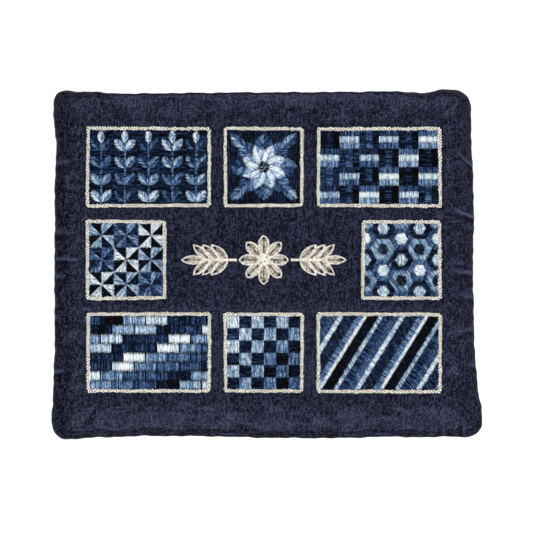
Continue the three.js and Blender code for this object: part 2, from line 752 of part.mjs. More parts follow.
const sprigs = new THREE.Group();
const sprigSeat = faceHeight(fieldMiddle.x, fieldMiddle.y) + SEAT_GAP;
sprigs.position.set(fieldMiddle.x, fieldMiddle.y, sprigSeat);
addPiece("rosette", rosetteGeometry(), CREAM_SATIN, sprigs);
addPiece("right_sprig", sprigGeometry(), CREAM_SATIN, sprigs);
addPiece("left_sprig", sprigGeometry(), CREAM_SATIN, sprigs).rotation.z = Math.PI;
bag.add(sprigs);

export default bag;
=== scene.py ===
"""A zipped bag of navy slubbed silk with stitched patchwork on its face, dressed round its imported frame."""
import logging
import math
from dataclasses import dataclass, field
from enum import Enum
from functools import cache

import bmesh
import bpy
import numpy as np
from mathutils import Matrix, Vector


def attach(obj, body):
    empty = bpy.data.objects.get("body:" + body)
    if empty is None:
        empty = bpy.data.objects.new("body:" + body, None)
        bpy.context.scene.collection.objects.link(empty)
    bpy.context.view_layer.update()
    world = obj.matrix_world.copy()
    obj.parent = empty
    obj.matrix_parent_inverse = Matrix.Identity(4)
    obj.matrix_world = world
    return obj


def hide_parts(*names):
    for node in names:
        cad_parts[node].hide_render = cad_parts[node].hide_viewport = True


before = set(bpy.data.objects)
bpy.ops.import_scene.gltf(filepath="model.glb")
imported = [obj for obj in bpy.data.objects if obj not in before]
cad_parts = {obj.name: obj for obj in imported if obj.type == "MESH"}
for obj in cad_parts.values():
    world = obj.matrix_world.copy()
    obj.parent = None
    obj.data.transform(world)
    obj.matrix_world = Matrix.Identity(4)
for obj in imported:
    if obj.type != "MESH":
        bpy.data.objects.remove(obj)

log = logging.getLogger("bag")

Array = np.ndarray
Place = tuple[float, float]
Rows = tuple[Place, ...]
Size = tuple[float, float, float]
Box = tuple[float, float, float, float]
Colour = tuple[float, float, float, float]
Socket = bpy.types.NodeSocket
Piece = bpy.types.Object

MM = 0.001
BODY = "root"
SEED = 7


def ease(value: Array, start: Array | float, stop: Array | float) -> Array:
    """Eases from 0 to 1 between two places.

    Args:
        value: The places to ease at.
        start: Where the easing starts.
        stop: Where it ends.

    Returns:
        The eased shares.
    """
    share = np.clip((value - start) / (stop - start), 0.0, 1.0)
    return share * share * (3.0 - 2.0 * share)


def ripple(place: Array, waves: Rows) -> Array:
    """Adds up sine waves, for gathers that never quite repeat.

    Args:
        place: Where along the cloth, in metres.
        waves: A row of wavelength in millimetres and phase for each wave.

    Returns:
        The height of the ripple, from -1 to 1.
    """
    total = sum(np.sin(2 * math.pi * place / (length * MM) + phase) for length, phase in waves)
    return total / len(waves)


class Side(Enum):
    """A side of the bag's outline, as its face is seen."""

    LEFT = "left"
    RIGHT = "right"
    BOTTOM = "bottom"
    TOP = "top"


Edges = dict[Side, Array]


def nearest(edges: Edges) -> tuple[Array, Array]:
    """Returns each point's distance from the nearer side and from the nearer end."""
    side = np.minimum(edges[Side.LEFT], edges[Side.RIGHT])
    end = np.minimum(edges[Side.BOTTOM], edges[Side.TOP])
    return side, end


@dataclass(frozen=True)
class EdgeLine:
    """How far one side draws in from the bag's widest reach.

    Each row gives a share of the side's length and the share of the draw there.
    """

    draw: float
    rows: Rows

    def at(self, along: Array) -> Array:
        """Returns the draw at shares of the side's length, eased from row to row."""
        share = np.clip(along, 0.0, 1.0)
        places, shares = (np.array(column) for column in zip(*self.rows))
        after = np.clip(np.searchsorted(places, share), 1, len(places) - 1)
        eased = ease(share, places[after - 1], places[after])
        return self.draw * (shares[after - 1] + (shares[after] - shares[after - 1]) * eased)


@dataclass(frozen=True)
class Fold:
    """A fold that runs in from a seam: a valley with a soft ridge on its upper side."""

    side: Side
    along: float
    reach: float
    rise: float
    width: float
    depth: float


LEFT_LINE = EdgeLine(2.7 * MM, (
    (0.0, 0.0), (0.06, 0.0), (0.12, 0.31), (0.28, 0.66), (0.5, 0.6),
    (0.63, 0.7), (0.72, 0.64), (0.83, 1.0), (0.93, 0.43), (1.0, 0.43),
))
RIGHT_LINE = EdgeLine(6.1 * MM, (
    (0.0, 0.0), (0.07, 0.0), (0.16, 0.46), (0.28, 0.73), (0.5, 0.84),
    (0.63, 0.75), (0.78, 0.85), (0.84, 1.0), (1.0, 1.0),
))
TOP_LINE = EdgeLine(2.9 * MM, (
    (0.0, 0.2), (0.03, 0.2), (0.06, 0.46), (0.19, 1.02), (0.26, 0.9), (0.47, 0.76),
    (0.68, 0.68), (0.76, 0.56), (0.83, 0.52), (0.866, 0.82), (0.9, 0.12), (0.94, 0.0), (1.0, 0.0),
))
BOTTOM_LINE = EdgeLine(2.5 * MM, (
    (0.0, 0.0), (0.036, 0.0), (0.09, 0.34), (0.12, 0.52), (0.23, 0.8), (0.33, 0.75), (0.54, 0.34),
    (0.65, 0.3), (0.785, 0.62), (0.825, 0.6), (0.86, 0.46), (0.93, 0.68), (1.0, 0.25),
))
FOLDS = (
    Fold(Side.RIGHT, 0.761, 0.7, 1.0, 0.8, 1.0),
    Fold(Side.RIGHT, 0.619, 1.0, 0.38, 0.9, 1.2),
    Fold(Side.RIGHT, 0.585, 0.4, 0.6, 0.8, 0.7),
    Fold(Side.RIGHT, 0.463, 0.9, 0.1, 0.9, 1.0),
    Fold(Side.RIGHT, 0.393, 0.8, 0.15, 1.2, 0.6),
    Fold(Side.RIGHT, 0.303, 0.9, -0.1, 1.1, 0.6),
    Fold(Side.RIGHT, 0.27, 0.35, 0.2, 0.8, 0.6),
    Fold(Side.RIGHT, 0.201, 0.4, 0.1, 0.9, 0.8),
    Fold(Side.LEFT, 0.77, 0.9, 0.1, 1.3, 0.5),
    Fold(Side.LEFT, 0.577, 0.9, -0.1, 1.4, 0.5),
    Fold(Side.LEFT, 0.505, 1.0, 0.0, 0.8, 0.9),
    Fold(Side.LEFT, 0.45, 0.5, 0.1, 1.1, 0.8),
    Fold(Side.LEFT, 0.183, 0.6, 0.15, 0.9, 1.0),
    Fold(Side.BOTTOM, 0.845, 1.0, 0.05, 0.7, 0.5),
    Fold(Side.BOTTOM, 0.9, 0.9, 0.0, 0.7, 0.5),
    Fold(Side.BOTTOM, 0.948, 0.8, -0.05, 0.7, 0.5),
)


@dataclass(frozen=True)
class PanelForm:
    """How one of the two cloth panels stands out from the seam between them."""

    rise: float
    roll: float
    sink: float
    folded: float
    gathers: float
    way: int


@dataclass(frozen=True)
class BagForm:
    """The bag's outline and the heights of its cloth, which every piece follows."""

    width: float = 240 * MM
    height: float = 195.4 * MM
    seam_height: float = 6 * MM
    seam_gap: float = 0.3 * MM
    seam_band: float = 0.6 * MM
    wall: float = 1.8 * MM
    roundness: float = 2.2
    sink_start: float = 11 * MM
    sink_reach: float = 13 * MM
    corner_top_left: float = 6.6 * MM
    corner_top_right: float = 11.2 * MM
    corner_bottom_left: float = 9.5 * MM
    corner_bottom_right: float = 10.1 * MM
    sharpest_corner: float = 1 * MM
    zip_left_margin: float = 14 * MM
    zip_right_margin: float = 32 * MM
    mouth_taper: float = 30 * MM
    mouth_half: float = 3.8 * MM
    fold_reach: float = 18 * MM
    fold_width: float = 1.3 * MM
    fold_depth: float = 1.2 * MM
    ridge_share: float = 0.6
    ridge_offset: float = 1.6
    gather_depth: float = 0.5 * MM
    gather_reach: float = 9 * MM
    gather_lean: Place = (0.3, -0.2)
    end_gathers: float = 0.5
    seam_sway: float = 0.35 * MM
    groove_inset: float = 2.8 * MM
    groove_width: float = 1.0 * MM
    groove_depth: float = 0.6 * MM
    groove_fade: float = 12 * MM
    side_waves: Rows = ((6.1, 0.4), (9.7, 2.1), (14.3, 4.4), (23.0, 1.2))
    end_waves: Rows = ((8.3, 3.0), (13.9, 0.7), (27.0, 5.1))
    front: PanelForm = PanelForm(8 * MM, 15 * MM, 0.9 * MM, 1.0, 1.0, 1)
    back: PanelForm = PanelForm(5.85 * MM, 12 * MM, 0.0, 0.0, 0.6, -1)

    @property
    def zip_left(self) -> float:
        """Where the zip starts."""
        return -self.width / 2 + self.zip_left_margin

    @property
    def zip_right(self) -> float:
        """Where the zip ends."""
        return self.width / 2 - self.zip_right_margin

    def corner_cut(self, radius: float, inset: float, from_end: Array) -> Array:
        """Returns how far a round corner cuts into its side, at distances from the side's end."""
        inner = max(radius - inset, self.sharpest_corner)
        rest = np.clip(inner - np.maximum(from_end, 0.0), 0.0, inner)
        return inner - np.sqrt(inner**2 - rest**2)

    def bottom_edge(self, x: Array, inset: float = 0.0) -> Array:
        """Returns the lower edge's Y at places across the bag."""
        return -self.height / 2 + inset + BOTTOM_LINE.at(x / self.width + 0.5)

    def top_edge(self, x: Array, inset: float = 0.0) -> Array:
        """Returns the upper edge's Y at places across the bag."""
        return self.height / 2 - inset - TOP_LINE.at(x / self.width + 0.5)

    def left_edge(self, share: Array, inset: float = 0.0) -> Array:
        """Returns the left edge's X at shares of the bag's height."""
        height = self.height - 2 * inset
        lower = self.corner_cut(self.corner_bottom_left, inset, share * height)
        upper = self.corner_cut(self.corner_top_left, inset, (1 - share) * height)
        return -self.width / 2 + inset + LEFT_LINE.at(share) + lower + upper

    def right_edge(self, share: Array, inset: float = 0.0) -> Array:
        """Returns the right edge's X at shares of the bag's height."""
        height = self.height - 2 * inset
        lower = self.corner_cut(self.corner_bottom_right, inset, share * height)
        upper = self.corner_cut(self.corner_top_right, inset, (1 - share) * height)
        return self.width / 2 - inset - RIGHT_LINE.at(share) - lower - upper

    def point(self, across: Array, up: Array, inset: float = 0.0) -> tuple[Array, Array]:
        """Returns X and Y of points from their shares across and up the bag."""
        left, right = self.left_edge(up, inset), self.right_edge(up, inset)
        x = left + (right - left) * across
        low, high = self.bottom_edge(x, inset), self.top_edge(x, inset)
        return x, low + (high - low) * up

    def distances(self, x: Array, y: Array, inset: float = 0.0) -> Edges:
        """Returns each point's distance from the four edges."""
        low, high = self.bottom_edge(x, inset), self.top_edge(x, inset)
        share = np.clip((y - low) / (high - low), 0.0, 1.0)
        return {
            Side.LEFT: x - self.left_edge(share, inset),
            Side.RIGHT: self.right_edge(share, inset) - x,
            Side.BOTTOM: y - low,
            Side.TOP: high - y,
        }

    def rolled(self, distance: Array, reach: float) -> Array:
        """Returns how far the cloth has rolled over: 0 at the seam, 1 past the roll's reach."""
        rest = 1 - np.clip(distance / reach, 0.0, 1.0)
        return (1 - rest**self.roundness) ** (1 / self.roundness)

    def lip_lift(self, x: Array, from_top: Array, reach: float) -> Array:
        """Returns how far a lip stands off the seam's level, which opens the mouth."""
        left = ease(x - self.zip_left, 0.0, self.mouth_taper)
        right = ease(self.zip_right - x, 0.0, self.mouth_taper)
        return self.mouth_half * left * right * (1 - ease(from_top, 0.0, reach))

    def settle(self, distance: Array) -> Array:
        """Returns how far the stitched field has settled below the rolled rim."""
        return ease(distance, self.sink_start, self.sink_start + self.sink_reach)

    def fold_relief(self, x: Array, y: Array, edges: Edges) -> Array:
        """Returns how deep the folds are at each point."""
        relief = np.zeros_like(x)
        for fold in FOLDS:
            inward = edges[fold.side]
            if fold.side is Side.BOTTOM:
                off = x - (fold.along - 0.5) * self.width - fold.rise * inward
            else:
                off = y - (fold.along - 0.5) * self.height - fold.rise * inward
            fade = 1 - ease(inward, 0.0, self.fold_reach * fold.reach)
            start = ease(inward, 0.0, self.wall)
            across = off / (self.fold_width * fold.width)
            valley = np.exp(-(across**2))
            ridge = self.ridge_share * np.exp(-((across - self.ridge_offset) ** 2))
            relief += self.fold_depth * fold.depth * fade * start * (valley - ridge)
        return relief

    def gather_relief(self, x: Array, y: Array, edges: Edges) -> Array:
        """Returns the small gathers that the seams pull into the cloth beside them."""
        side, end = nearest(edges)
        by_side = 1 - ease(side, 0.0, self.gather_reach)
        by_end = 1 - ease(end, 0.0, self.gather_reach)
        lean = np.where(x < 0, *self.gather_lean)
        wave_side = ripple(y + lean * side, self.side_waves)
        wave_end = ripple(x, self.end_waves)
        start = ease(np.minimum(side, end), 0.0, self.wall)
        return self.gather_depth * start * (by_side * wave_side + self.end_gathers * by_end * wave_end)

    def unevenness(self, x: Array, y: Array) -> Array:
        """Returns how far in or out the seam's gathers draw each point, as X and Y."""
        side, end = nearest(self.distances(x, y))
        across = ripple(y, self.side_waves) * (1 - ease(side, 0.0, self.gather_reach))
        along = ripple(x, self.end_waves) * (1 - ease(end, 0.0, self.gather_reach))
        return self.seam_sway * np.stack([across, along], axis=-1)

    def groove_relief(self, edges: Edges) -> Array:
        """Returns the groove that the closed edge's seam presses into the cloth."""
        side, _ = nearest(edges)
        across = (edges[Side.BOTTOM] - self.groove_inset) / self.groove_width
        return self.groove_depth * np.exp(-(across**2)) * ease(side, 0.0, self.groove_fade)

    def relief(self, panel: PanelForm, x: Array, y: Array) -> Array:
        """Returns how deep the folds, gathers and groove of a panel's margin are."""
        edges = self.distances(x, y)
        pressed = self.fold_relief(x, y, edges) + self.groove_relief(edges)
        return panel.folded * pressed + panel.gathers * self.gather_relief(x, y, edges)

    def panel_height(self, panel: PanelForm, x: Array, y: Array) -> Array:
        """Returns a panel's height out from the seam's level, without its folds."""
        edges = self.distances(x, y)
        side, end = nearest(edges)
        rim = self.lip_lift(x, edges[Side.TOP], panel.roll) + self.seam_band
        over = self.rolled(side, panel.roll) * self.rolled(end, panel.roll)
        height = rim + (panel.rise - rim) * over
        return height - panel.sink * self.settle(side) * self.settle(end)

    def inner_height(self, panel: PanelForm, x: Array, y: Array) -> Array:
        """Returns the height of a panel's lining out from the seam's level."""
        edges = self.distances(x, y, self.wall)
        side, end = nearest(edges)
        rim = self.lip_lift(x, edges[Side.TOP] + self.wall, panel.roll)
        over = self.rolled(side, panel.roll - self.wall) * self.rolled(end, panel.roll - self.wall)
        sunk = panel.sink * self.settle(side + self.wall) * self.settle(end + self.wall)
        return rim + (panel.rise - self.wall - rim) * over - sunk

    def level(self, panel: PanelForm, height: Array) -> Array:
        """Returns heights above the table from a panel's heights out from the seam."""
        return self.seam_height + panel.way * (self.seam_gap / 2 + height)

    def face(self, x: Array, y: Array) -> Array:
        """Returns the height of the front face above the table."""
        return self.level(self.front, self.panel_height(self.front, x, y))


FORM = BagForm()


class Column(Enum):
    """A block's place across the stitched field."""

    LEFT = "left"
    MIDDLE = "middle"
    RIGHT = "right"
    FAR_LEFT = "far left"
    FAR_RIGHT = "far right"


class Row(Enum):
    """A block's place up the stitched field."""

    TOP = 2
    CENTRE = 1
    BOTTOM = 0


@dataclass(frozen=True)
class StitchedField:
    """Where the stitched blocks lie on the face, in three rows round a bare middle."""

    left: float = -100 * MM
    right: float = 96.6 * MM
    bottom: float = -71.2 * MM
    top: float = 76.1 * MM
    gap: float = 6.4 * MM
    square: float = 44.8 * MM
    puff: float = 0.4 * MM
    puff_reach: float = 3 * MM

    @property
    def middle(self) -> Vector:
        """The middle of the field."""
        return Vector(((self.left + self.right) / 2, (self.bottom + self.top) / 2))

    def bounds(self, column: Column, row: Row) -> Box:
        """Returns a block's lowest X, lowest Y, highest X and highest Y."""
        middle, half = self.middle.x, self.square / 2
        low, high = {
            Column.LEFT: (self.left, middle - half - self.gap),
            Column.MIDDLE: (middle - half, middle + half),
            Column.RIGHT: (middle + half + self.gap, self.right),
            Column.FAR_LEFT: (self.left, self.left + self.square),
            Column.FAR_RIGHT: (self.right - self.square, self.right),
        }[column]
        height = (self.top - self.bottom - 2 * self.gap) / 3
        base = self.bottom + row.value * (height + self.gap)
        return low, base, high, base + height

    def puffed(self, x: Array, y: Array, places: list[Box]) -> Array:
        """Returns how far the bare cloth stands up between the blocks that hold it down."""
        off = np.full_like(x, self.puff_reach)
        for low_x, low_y, high_x, high_y in places:
            across = np.maximum(np.maximum(low_x - x, x - high_x), 0.0)
            along = np.maximum(np.maximum(low_y - y, y - high_y), 0.0)
            off = np.minimum(off, np.hypot(across, along))
        return self.puff * ease(off, 0.0, self.puff_reach)


FIELD = StitchedField()


class Graph:
    """Adds nodes to a node tree and links them."""

    def __init__(self, tree: bpy.types.NodeTree) -> None:
        """Starts from an empty tree."""
        self.tree = tree
        tree.nodes.clear()

    def node(self, kind: str, inputs: dict | None = None, **settings: object) -> bpy.types.Node:
        """Adds one node.

        Args:
            kind: The node's type.
            inputs: A value or another node's output for each named or numbered input.
            **settings: The node's own settings.

        Returns:
            The new node.
        """
        node = self.tree.nodes.new(kind)
        for key, value in settings.items():
            setattr(node, key, value)
        for key, value in (inputs or {}).items():
            if isinstance(value, Socket):
                self.tree.links.new(value, node.inputs[key])
            else:
                node.inputs[key].default_value = value
        return node

    def math(self, operation: str, *values: object) -> Socket:
        """Adds a Math node and returns its output."""
        return self.node("ShaderNodeMath", dict(enumerate(values)), operation=operation).outputs[0]

    def spread(self, value: Socket, *bounds: float) -> Socket:
        """Adds a Map Range node from two bounds to two others and returns its output."""
        inputs = {"Value": value}
        inputs.update(zip(("From Min", "From Max", "To Min", "To Max"), bounds))
        return self.node("ShaderNodeMapRange", inputs).outputs[0]

    def blend(self, share: object, first: object, second: object) -> Socket:
        """Adds a colour mix of two colours and returns its output."""
        return self.node("ShaderNodeMix", {0: share, 6: first, 7: second}, data_type="RGBA").outputs[2]

    def random(self, low: object, high: object, seed: object) -> Socket:
        """Adds a random number between two bounds for each point and returns its output."""
        inputs = {2: low, 3: high, "Seed": seed}
        return self.node("FunctionNodeRandomValue", inputs, data_type="FLOAT").outputs[1]

    def noise(self, vector: Socket, size: Size, detail: float) -> Socket:
        """Adds a noise texture whose features have a size for each axis and returns its value."""
        scale = tuple(1 / part for part in size)
        place = self.node("ShaderNodeVectorMath", {0: vector, 1: scale}, operation="MULTIPLY")
        inputs = {"Vector": place.outputs[0], "Scale": 1.0, "Detail": detail, "Roughness": 0.55}
        return self.node("ShaderNodeTexNoise", inputs).outputs[0]

    def weighted(self, outputs: tuple[Socket, ...], shares: tuple[float, ...]) -> Socket:
        """Adds up outputs, each at its own share, and returns the sum."""
        total = self.math("MULTIPLY", outputs[0], shares[0])
        for output, share in zip(outputs[1:], shares[1:]):
            total = self.math("ADD", total, self.math("MULTIPLY", output, share))
        return total

    def circle(self, corners: int, radius: object) -> Socket:
        """Adds a circle for a curve's section and returns it."""
        inputs = {"Resolution": corners, "Radius": radius}
        return self.node("GeometryNodeCurvePrimitiveCircle", inputs).outputs[0]

    def put_out(self, name: str, geometry: Socket, material: Socket) -> None:
        """Realizes the instances, sets their material and puts them out under a name."""
        real = self.node("GeometryNodeRealizeInstances", {"Geometry": geometry})
        inputs = {"Geometry": real.outputs[0], "Material": material}
        dressed = self.node("GeometryNodeSetMaterial", inputs)
        self.node("NodeGroupOutput", {name: dressed.outputs[0]})


def new_group(name: str, inputs: dict[str, str], outputs: dict[str, str], kind: str) -> bpy.types.NodeTree:
    """Makes an empty node group.

    Args:
        name: The group's name.
        inputs: The socket type of each named input.
        outputs: The socket type of each named output.
        kind: The type of node tree.

    Returns:
        The group's tree, with its sockets.
    """
    tree = bpy.data.node_groups.new(name, kind)
    for direction, sockets in (("INPUT", inputs), ("OUTPUT", outputs)):
        for socket, kind_of_socket in sockets.items():
            tree.interface.new_socket(socket, in_out=direction, socket_type=kind_of_socket)
    return tree


def linear(red: float, green: float, blue: float) -> Colour:
    """Returns the linear colour of display values from 0 to 255."""
    shares = np.array((red, green, blue)) / 255
    values = np.where(shares <= 0.04045, shares / 12.92, ((shares + 0.055) / 1.055) ** 2.4)
    return (*values.tolist(), 1.0)


@dataclass(frozen=True)
class SlubbedWeave:
    """The look of a slubbed weave, shared by the silk and the zip's tape.

    Its sizes are those of what it shows, across and along the slubs.
    """

    slub: Size = (0.7 * MM, 12.0 * MM, 4.0 * MM)
    streak: Size = (4.0 * MM, 30.0 * MM, 10.0 * MM)
    upright: Size = (0.6 * MM, 2.6 * MM, 1.0 * MM)
    level: Size = (1.6 * MM, 0.6 * MM, 1.0 * MM)
    warp: float = 0.34 * MM
    weft: float = 0.42 * MM
    rib_window: Place = (0.3, 0.72)
    drift_window: Place = (0.3, 0.7)
    grain_window: Place = (0.78, 1.22)
    tone_window: Place = (0.38, 0.78)
    tone_shares: Box = (0.22, 0.06, 0.62, 0.1)
    height_shares: Size = (0.25, 0.45, 0.3)

    def group(self) -> bpy.types.NodeTree:
        """Builds the group, which puts out a tone from 0 to 1 and a height."""
        sockets = {"Tone": "NodeSocketFloat", "Height": "NodeSocketFloat"}
        tree = new_group("slubbed weave", {"Vector": "NodeSocketVector"}, sockets, "ShaderNodeTree")
        graph = Graph(tree)
        place = graph.node("NodeGroupInput").outputs["Vector"]
        slub = graph.noise(place, self.slub, 2.0)
        streak = graph.noise(place, self.streak, 2.0)
        upright = graph.noise(place, self.upright, 1.0)
        level = graph.noise(place, self.level, 1.0)
        ribs = graph.spread(slub, *self.rib_window, 0.0, 1.0)
        drift = graph.spread(streak, *self.drift_window, 0.0, 1.0)
        grain = graph.spread(graph.math("ADD", upright, level), *self.grain_window, 0.0, 1.0)
        axes = graph.node("ShaderNodeSeparateXYZ", {0: place}).outputs
        over = graph.math("SINE", graph.math("MULTIPLY", axes[0], 2 * math.pi / self.warp))
        under = graph.math("SINE", graph.math("MULTIPLY", axes[1], 2 * math.pi / self.weft))
        threads = graph.spread(graph.math("MULTIPLY", over, under), -1.0, 1.0, 0.0, 1.0)
        tone = graph.weighted((ribs, drift, grain, threads), self.tone_shares)
        tone = graph.spread(tone, *self.tone_window, 0.0, 1.0)
        height = graph.weighted((ribs, grain, threads), self.height_shares)
        graph.node("NodeGroupOutput", {"Tone": tone, "Height": height})
        return tree


@dataclass(frozen=True)
class ThreadGrain:
    """The look of spun thread, shared by the stitches and the cords."""

    fibre: float = 0.35 * MM
    patch: float = 1.1 * MM
    window: Place = (0.3, 0.7)
    shares: Place = (0.4, 0.6)

    def group(self) -> bpy.types.NodeTree:
        """Builds the group, which puts out a tone from 0 to 1 and a height."""
        sockets = {"Tone": "NodeSocketFloat", "Height": "NodeSocketFloat"}
        tree = new_group("thread grain", {"Vector": "NodeSocketVector"}, sockets, "ShaderNodeTree")
        graph = Graph(tree)
        place = graph.node("NodeGroupInput").outputs["Vector"]
        fibre = graph.noise(place, (self.fibre,) * 3, 2.0)
        patch = graph.noise(place, (self.patch,) * 3, 1.0)
        grain = graph.spread(fibre, *self.window, 0.0, 1.0)
        blotch = graph.spread(patch, *self.window, 0.0, 1.0)
        tone = graph.weighted((grain, blotch), self.shares)
        graph.node("NodeGroupOutput", {"Tone": tone, "Height": grain})
        return tree


WEAVE = SlubbedWeave().group()
GRAIN = ThreadGrain().group()


@dataclass(frozen=True)
class Finish:
    """What every finish has: its name, its sheen and the depth of its relief."""

    name: str
    roughness: Place = (0.5, 0.6)
    specular: float = 0.3
    specular_tint: Colour = (1.0, 1.0, 1.0, 1.0)
    relief: float = 0.1 * MM
    strength: float = 0.5

    def shader(self, graph: Graph, colour: object, tone: object, height: object) -> None:
        """Adds the shader with its roughness and bump.

        Args:
            graph: The material's graph.
            colour: The output that gives the base colour.
            tone: The output that varies the roughness.
            height: The output that raises the surface.
        """
        rough = graph.spread(tone, 0.0, 1.0, self.roughness[1], self.roughness[0])
        bump_inputs = {"Strength": self.strength, "Distance": self.relief, "Height": height}
        bump = graph.node("ShaderNodeBump", bump_inputs)
        inputs = {
            "Base Color": colour,
            "Roughness": rough,
            "Specular IOR Level": self.specular,
            "Specular Tint": self.specular_tint,
            "Normal": bump.outputs[0],
        }
        surface = graph.node("ShaderNodeBsdfPrincipled", inputs)
        graph.node("ShaderNodeOutputMaterial", {"Surface": surface.outputs[0]})

    def start(self, group: bpy.types.NodeTree) -> tuple[bpy.types.Material, Graph, bpy.types.Node]:
        """Starts the material with a shared group on its object coordinates.

        Args:
            group: The shared group that gives the tone and the height.

        Returns:
            The material, its graph and the group's node.
        """
        material = bpy.data.materials.new(self.name)
        material.use_nodes = True
        graph = Graph(material.node_tree)
        place = graph.node("ShaderNodeTexCoord").outputs["Object"]
        shared = graph.node("ShaderNodeGroup", node_tree=group)
        graph.tree.links.new(place, shared.inputs["Vector"])
        return material, graph, shared


@dataclass(frozen=True)
class WovenFinish(Finish):
    """A woven cloth whose slubs shade it from a deep colour to a light one."""

    deep: Colour = linear(0, 0, 1)
    light: Colour = linear(48, 51, 72)
    # painted highlight: the paler colour laid on fold ridges
    painted_ridge_highlight: Colour = linear(88, 94, 128)

    def material(self) -> bpy.types.Material:
        """Builds the material, with painted shade where the cloth turns in at the seam and in fold valleys,
        and a painted highlight on the ridge of a fold.
        """
        material, graph, weave = self.start(WEAVE)
        # painted shade and highlight: above zero the attribute darkens the seam's edge and fold valleys,
        # below zero it lightens fold ridges
        painted_shade_highlight = graph.node("ShaderNodeAttribute", attribute_name="painted_shade_highlight").outputs["Fac"]
        tone = graph.math("MULTIPLY", weave.outputs["Tone"], graph.math("SUBTRACT", 1.0, painted_shade_highlight))
        colour = graph.blend(tone, self.deep, self.light)
        colour = graph.blend(graph.math("MULTIPLY", painted_shade_highlight, -1.0), colour, self.painted_ridge_highlight)
        self.shader(graph, colour, tone, weave.outputs["Height"])
        return material


@dataclass(frozen=True)
class ThreadFinish(Finish):
    """Thread whose own tone attribute picks its shade from a row of dyed colours; on the cords that tone also
    carries painted shade.
    """

    shades: tuple[Colour, ...] = ()
    spread_of_grain: float = 0.2

    def material(self) -> bpy.types.Material:
        """Builds the material."""
        material, graph, grain = self.start(GRAIN)
        tone = graph.node("ShaderNodeAttribute", attribute_name="tone").outputs["Fac"]
        shift = graph.spread(grain.outputs["Tone"], 0.0, 1.0, -self.spread_of_grain, self.spread_of_grain)
        ramp = graph.node("ShaderNodeValToRGB", {"Fac": graph.math("ADD", tone, shift)})
        stops = ramp.color_ramp.elements
        while len(stops) < len(self.shades):
            stops.new(0.5)
        for index in range(len(self.shades)):
            stops[index].position = index / (len(self.shades) - 1)
        for stop, shade in zip(stops, self.shades):
            stop.color = shade
        self.shader(graph, ramp.outputs[0], grain.outputs["Tone"], grain.outputs["Height"])
        return material


BLUES = (
    linear(0, 0, 1), linear(4, 10, 26), linear(40, 65, 106),
    linear(90, 122, 164), linear(170, 198, 220), linear(250, 255, 255),
)
# on the cords the darker creams also stand for painted shade between the strands
CREAMS = (linear(30, 25, 16), linear(174, 160, 130), linear(254, 246, 226), linear(255, 255, 252))

SILK = WovenFinish("navy_silk", roughness=(0.27, 0.35), specular=0.17,
                   specular_tint=linear(192, 202, 255), relief=0.09 * MM, strength=0.7)
TAPE = WovenFinish("zip_navy", deep=linear(12, 13, 22), light=linear(34, 35, 50), specular=0.3)
LIGHT_THREAD, MIDDLE_THREAD, DEEP_THREAD = (
    ThreadFinish(name, roughness=(0.34, 0.46), specular=0.06, shades=BLUES)
    for name in ("light_thread", "middle_thread", "deep_thread")
)
CREAM_THREAD = ThreadFinish("cream_thread", roughness=(0.3, 0.5), specular=0.9, shades=CREAMS,
                            spread_of_grain=0.6)


@cache
def material_of(finish: WovenFinish | ThreadFinish) -> bpy.types.Material:
    """Returns the material of a finish, built once."""
    return finish.material()


def linked(name: str, data: bpy.types.ID) -> Piece:
    """Makes an object of some data at the origin and links it into the scene."""
    made = bpy.data.objects.new(name, data)
    bpy.context.scene.collection.objects.link(made)
    return made


def smooth_shaded(piece: Piece) -> Piece:
    """Shades a mesh piece smooth."""
    piece.data.polygons.foreach_set("use_smooth", np.ones(len(piece.data.polygons), dtype=bool))
    return piece


def mesh_object(name: str, points: Array, faces: list | Array = (), edges: list | Array = ()) -> Piece:
    """Makes a smooth-shaded mesh object at the origin.

    Args:
        name: The piece's name.
        points: Its points, one row each.
        faces: Its faces' point numbers.
        edges: Its loose edges' point numbers.

    Returns:
        The new object, linked into the scene.
    """
    mesh = bpy.data.meshes.new(name)
    mesh.from_pydata(np.asarray(points).tolist(), np.asarray(edges).tolist(), np.asarray(faces).tolist())
    mesh.update()
    return smooth_shaded(linked(name, mesh))


def bake(piece: Piece) -> Piece:
    """Turns a piece's evaluated shape into its plain mesh, with no modifier left."""
    depsgraph = bpy.context.evaluated_depsgraph_get()
    mesh = bpy.data.meshes.new_from_object(piece.evaluated_get(depsgraph), depsgraph=depsgraph)
    piece.modifiers.clear()
    piece.data = mesh
    mesh.name = piece.name
    return piece


def points_of(piece: Piece) -> Array:
    """Returns a mesh piece's points, one row each."""
    flat = np.zeros(len(piece.data.vertices) * 3)
    piece.data.vertices.foreach_get("co", flat)
    return flat.reshape(-1, 3)


def place_points(piece: Piece, points: Array) -> None:
    """Moves a mesh piece's points."""
    piece.data.vertices.foreach_set("co", np.asarray(points).ravel())
    piece.data.update()


def hand_in(piece: Piece, finish: Finish, node: str) -> Piece:
    """Gives a finished piece its material and body, and hides the imported node that it replaces.

    Args:
        piece: The finished piece.
        finish: Its finish, whose name the material takes.
        node: The node that it replaces.

    Returns:
        The same piece.
    """
    piece.data.materials.clear()
    piece.data.materials.append(material_of(finish))
    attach(piece, BODY)
    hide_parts(node)
    size = [round(part / MM, 1) for part in piece.dimensions]
    log.info("%s: %d faces, %s mm", piece.name, len(piece.data.polygons), size)
    return piece


def grown(piece: Piece, tree: bpy.types.NodeTree, values: dict[str, object]) -> Piece:
    """Runs a geometry node tree on a piece and bakes the result.

    Args:
        piece: The piece that the tree starts from.
        tree: The geometry node tree.
        values: A value for each of its named inputs.

    Returns:
        The same piece, with its grown mesh.
    """
    modifier = piece.modifiers.new(tree.name, "NODES")
    modifier.node_group = tree
    for item in tree.interface.items_tree:
        if item.in_out == "INPUT" and item.name in values:
            modifier[item.identifier] = values[item.name]
    return bake(piece)


def named(graph: Graph, name: str, kind: str) -> Socket:
    """Adds a node that reads a named attribute and returns its output."""
    return graph.node("GeometryNodeInputNamedAttribute", {"Name": name}, data_type=kind).outputs["Attribute"]


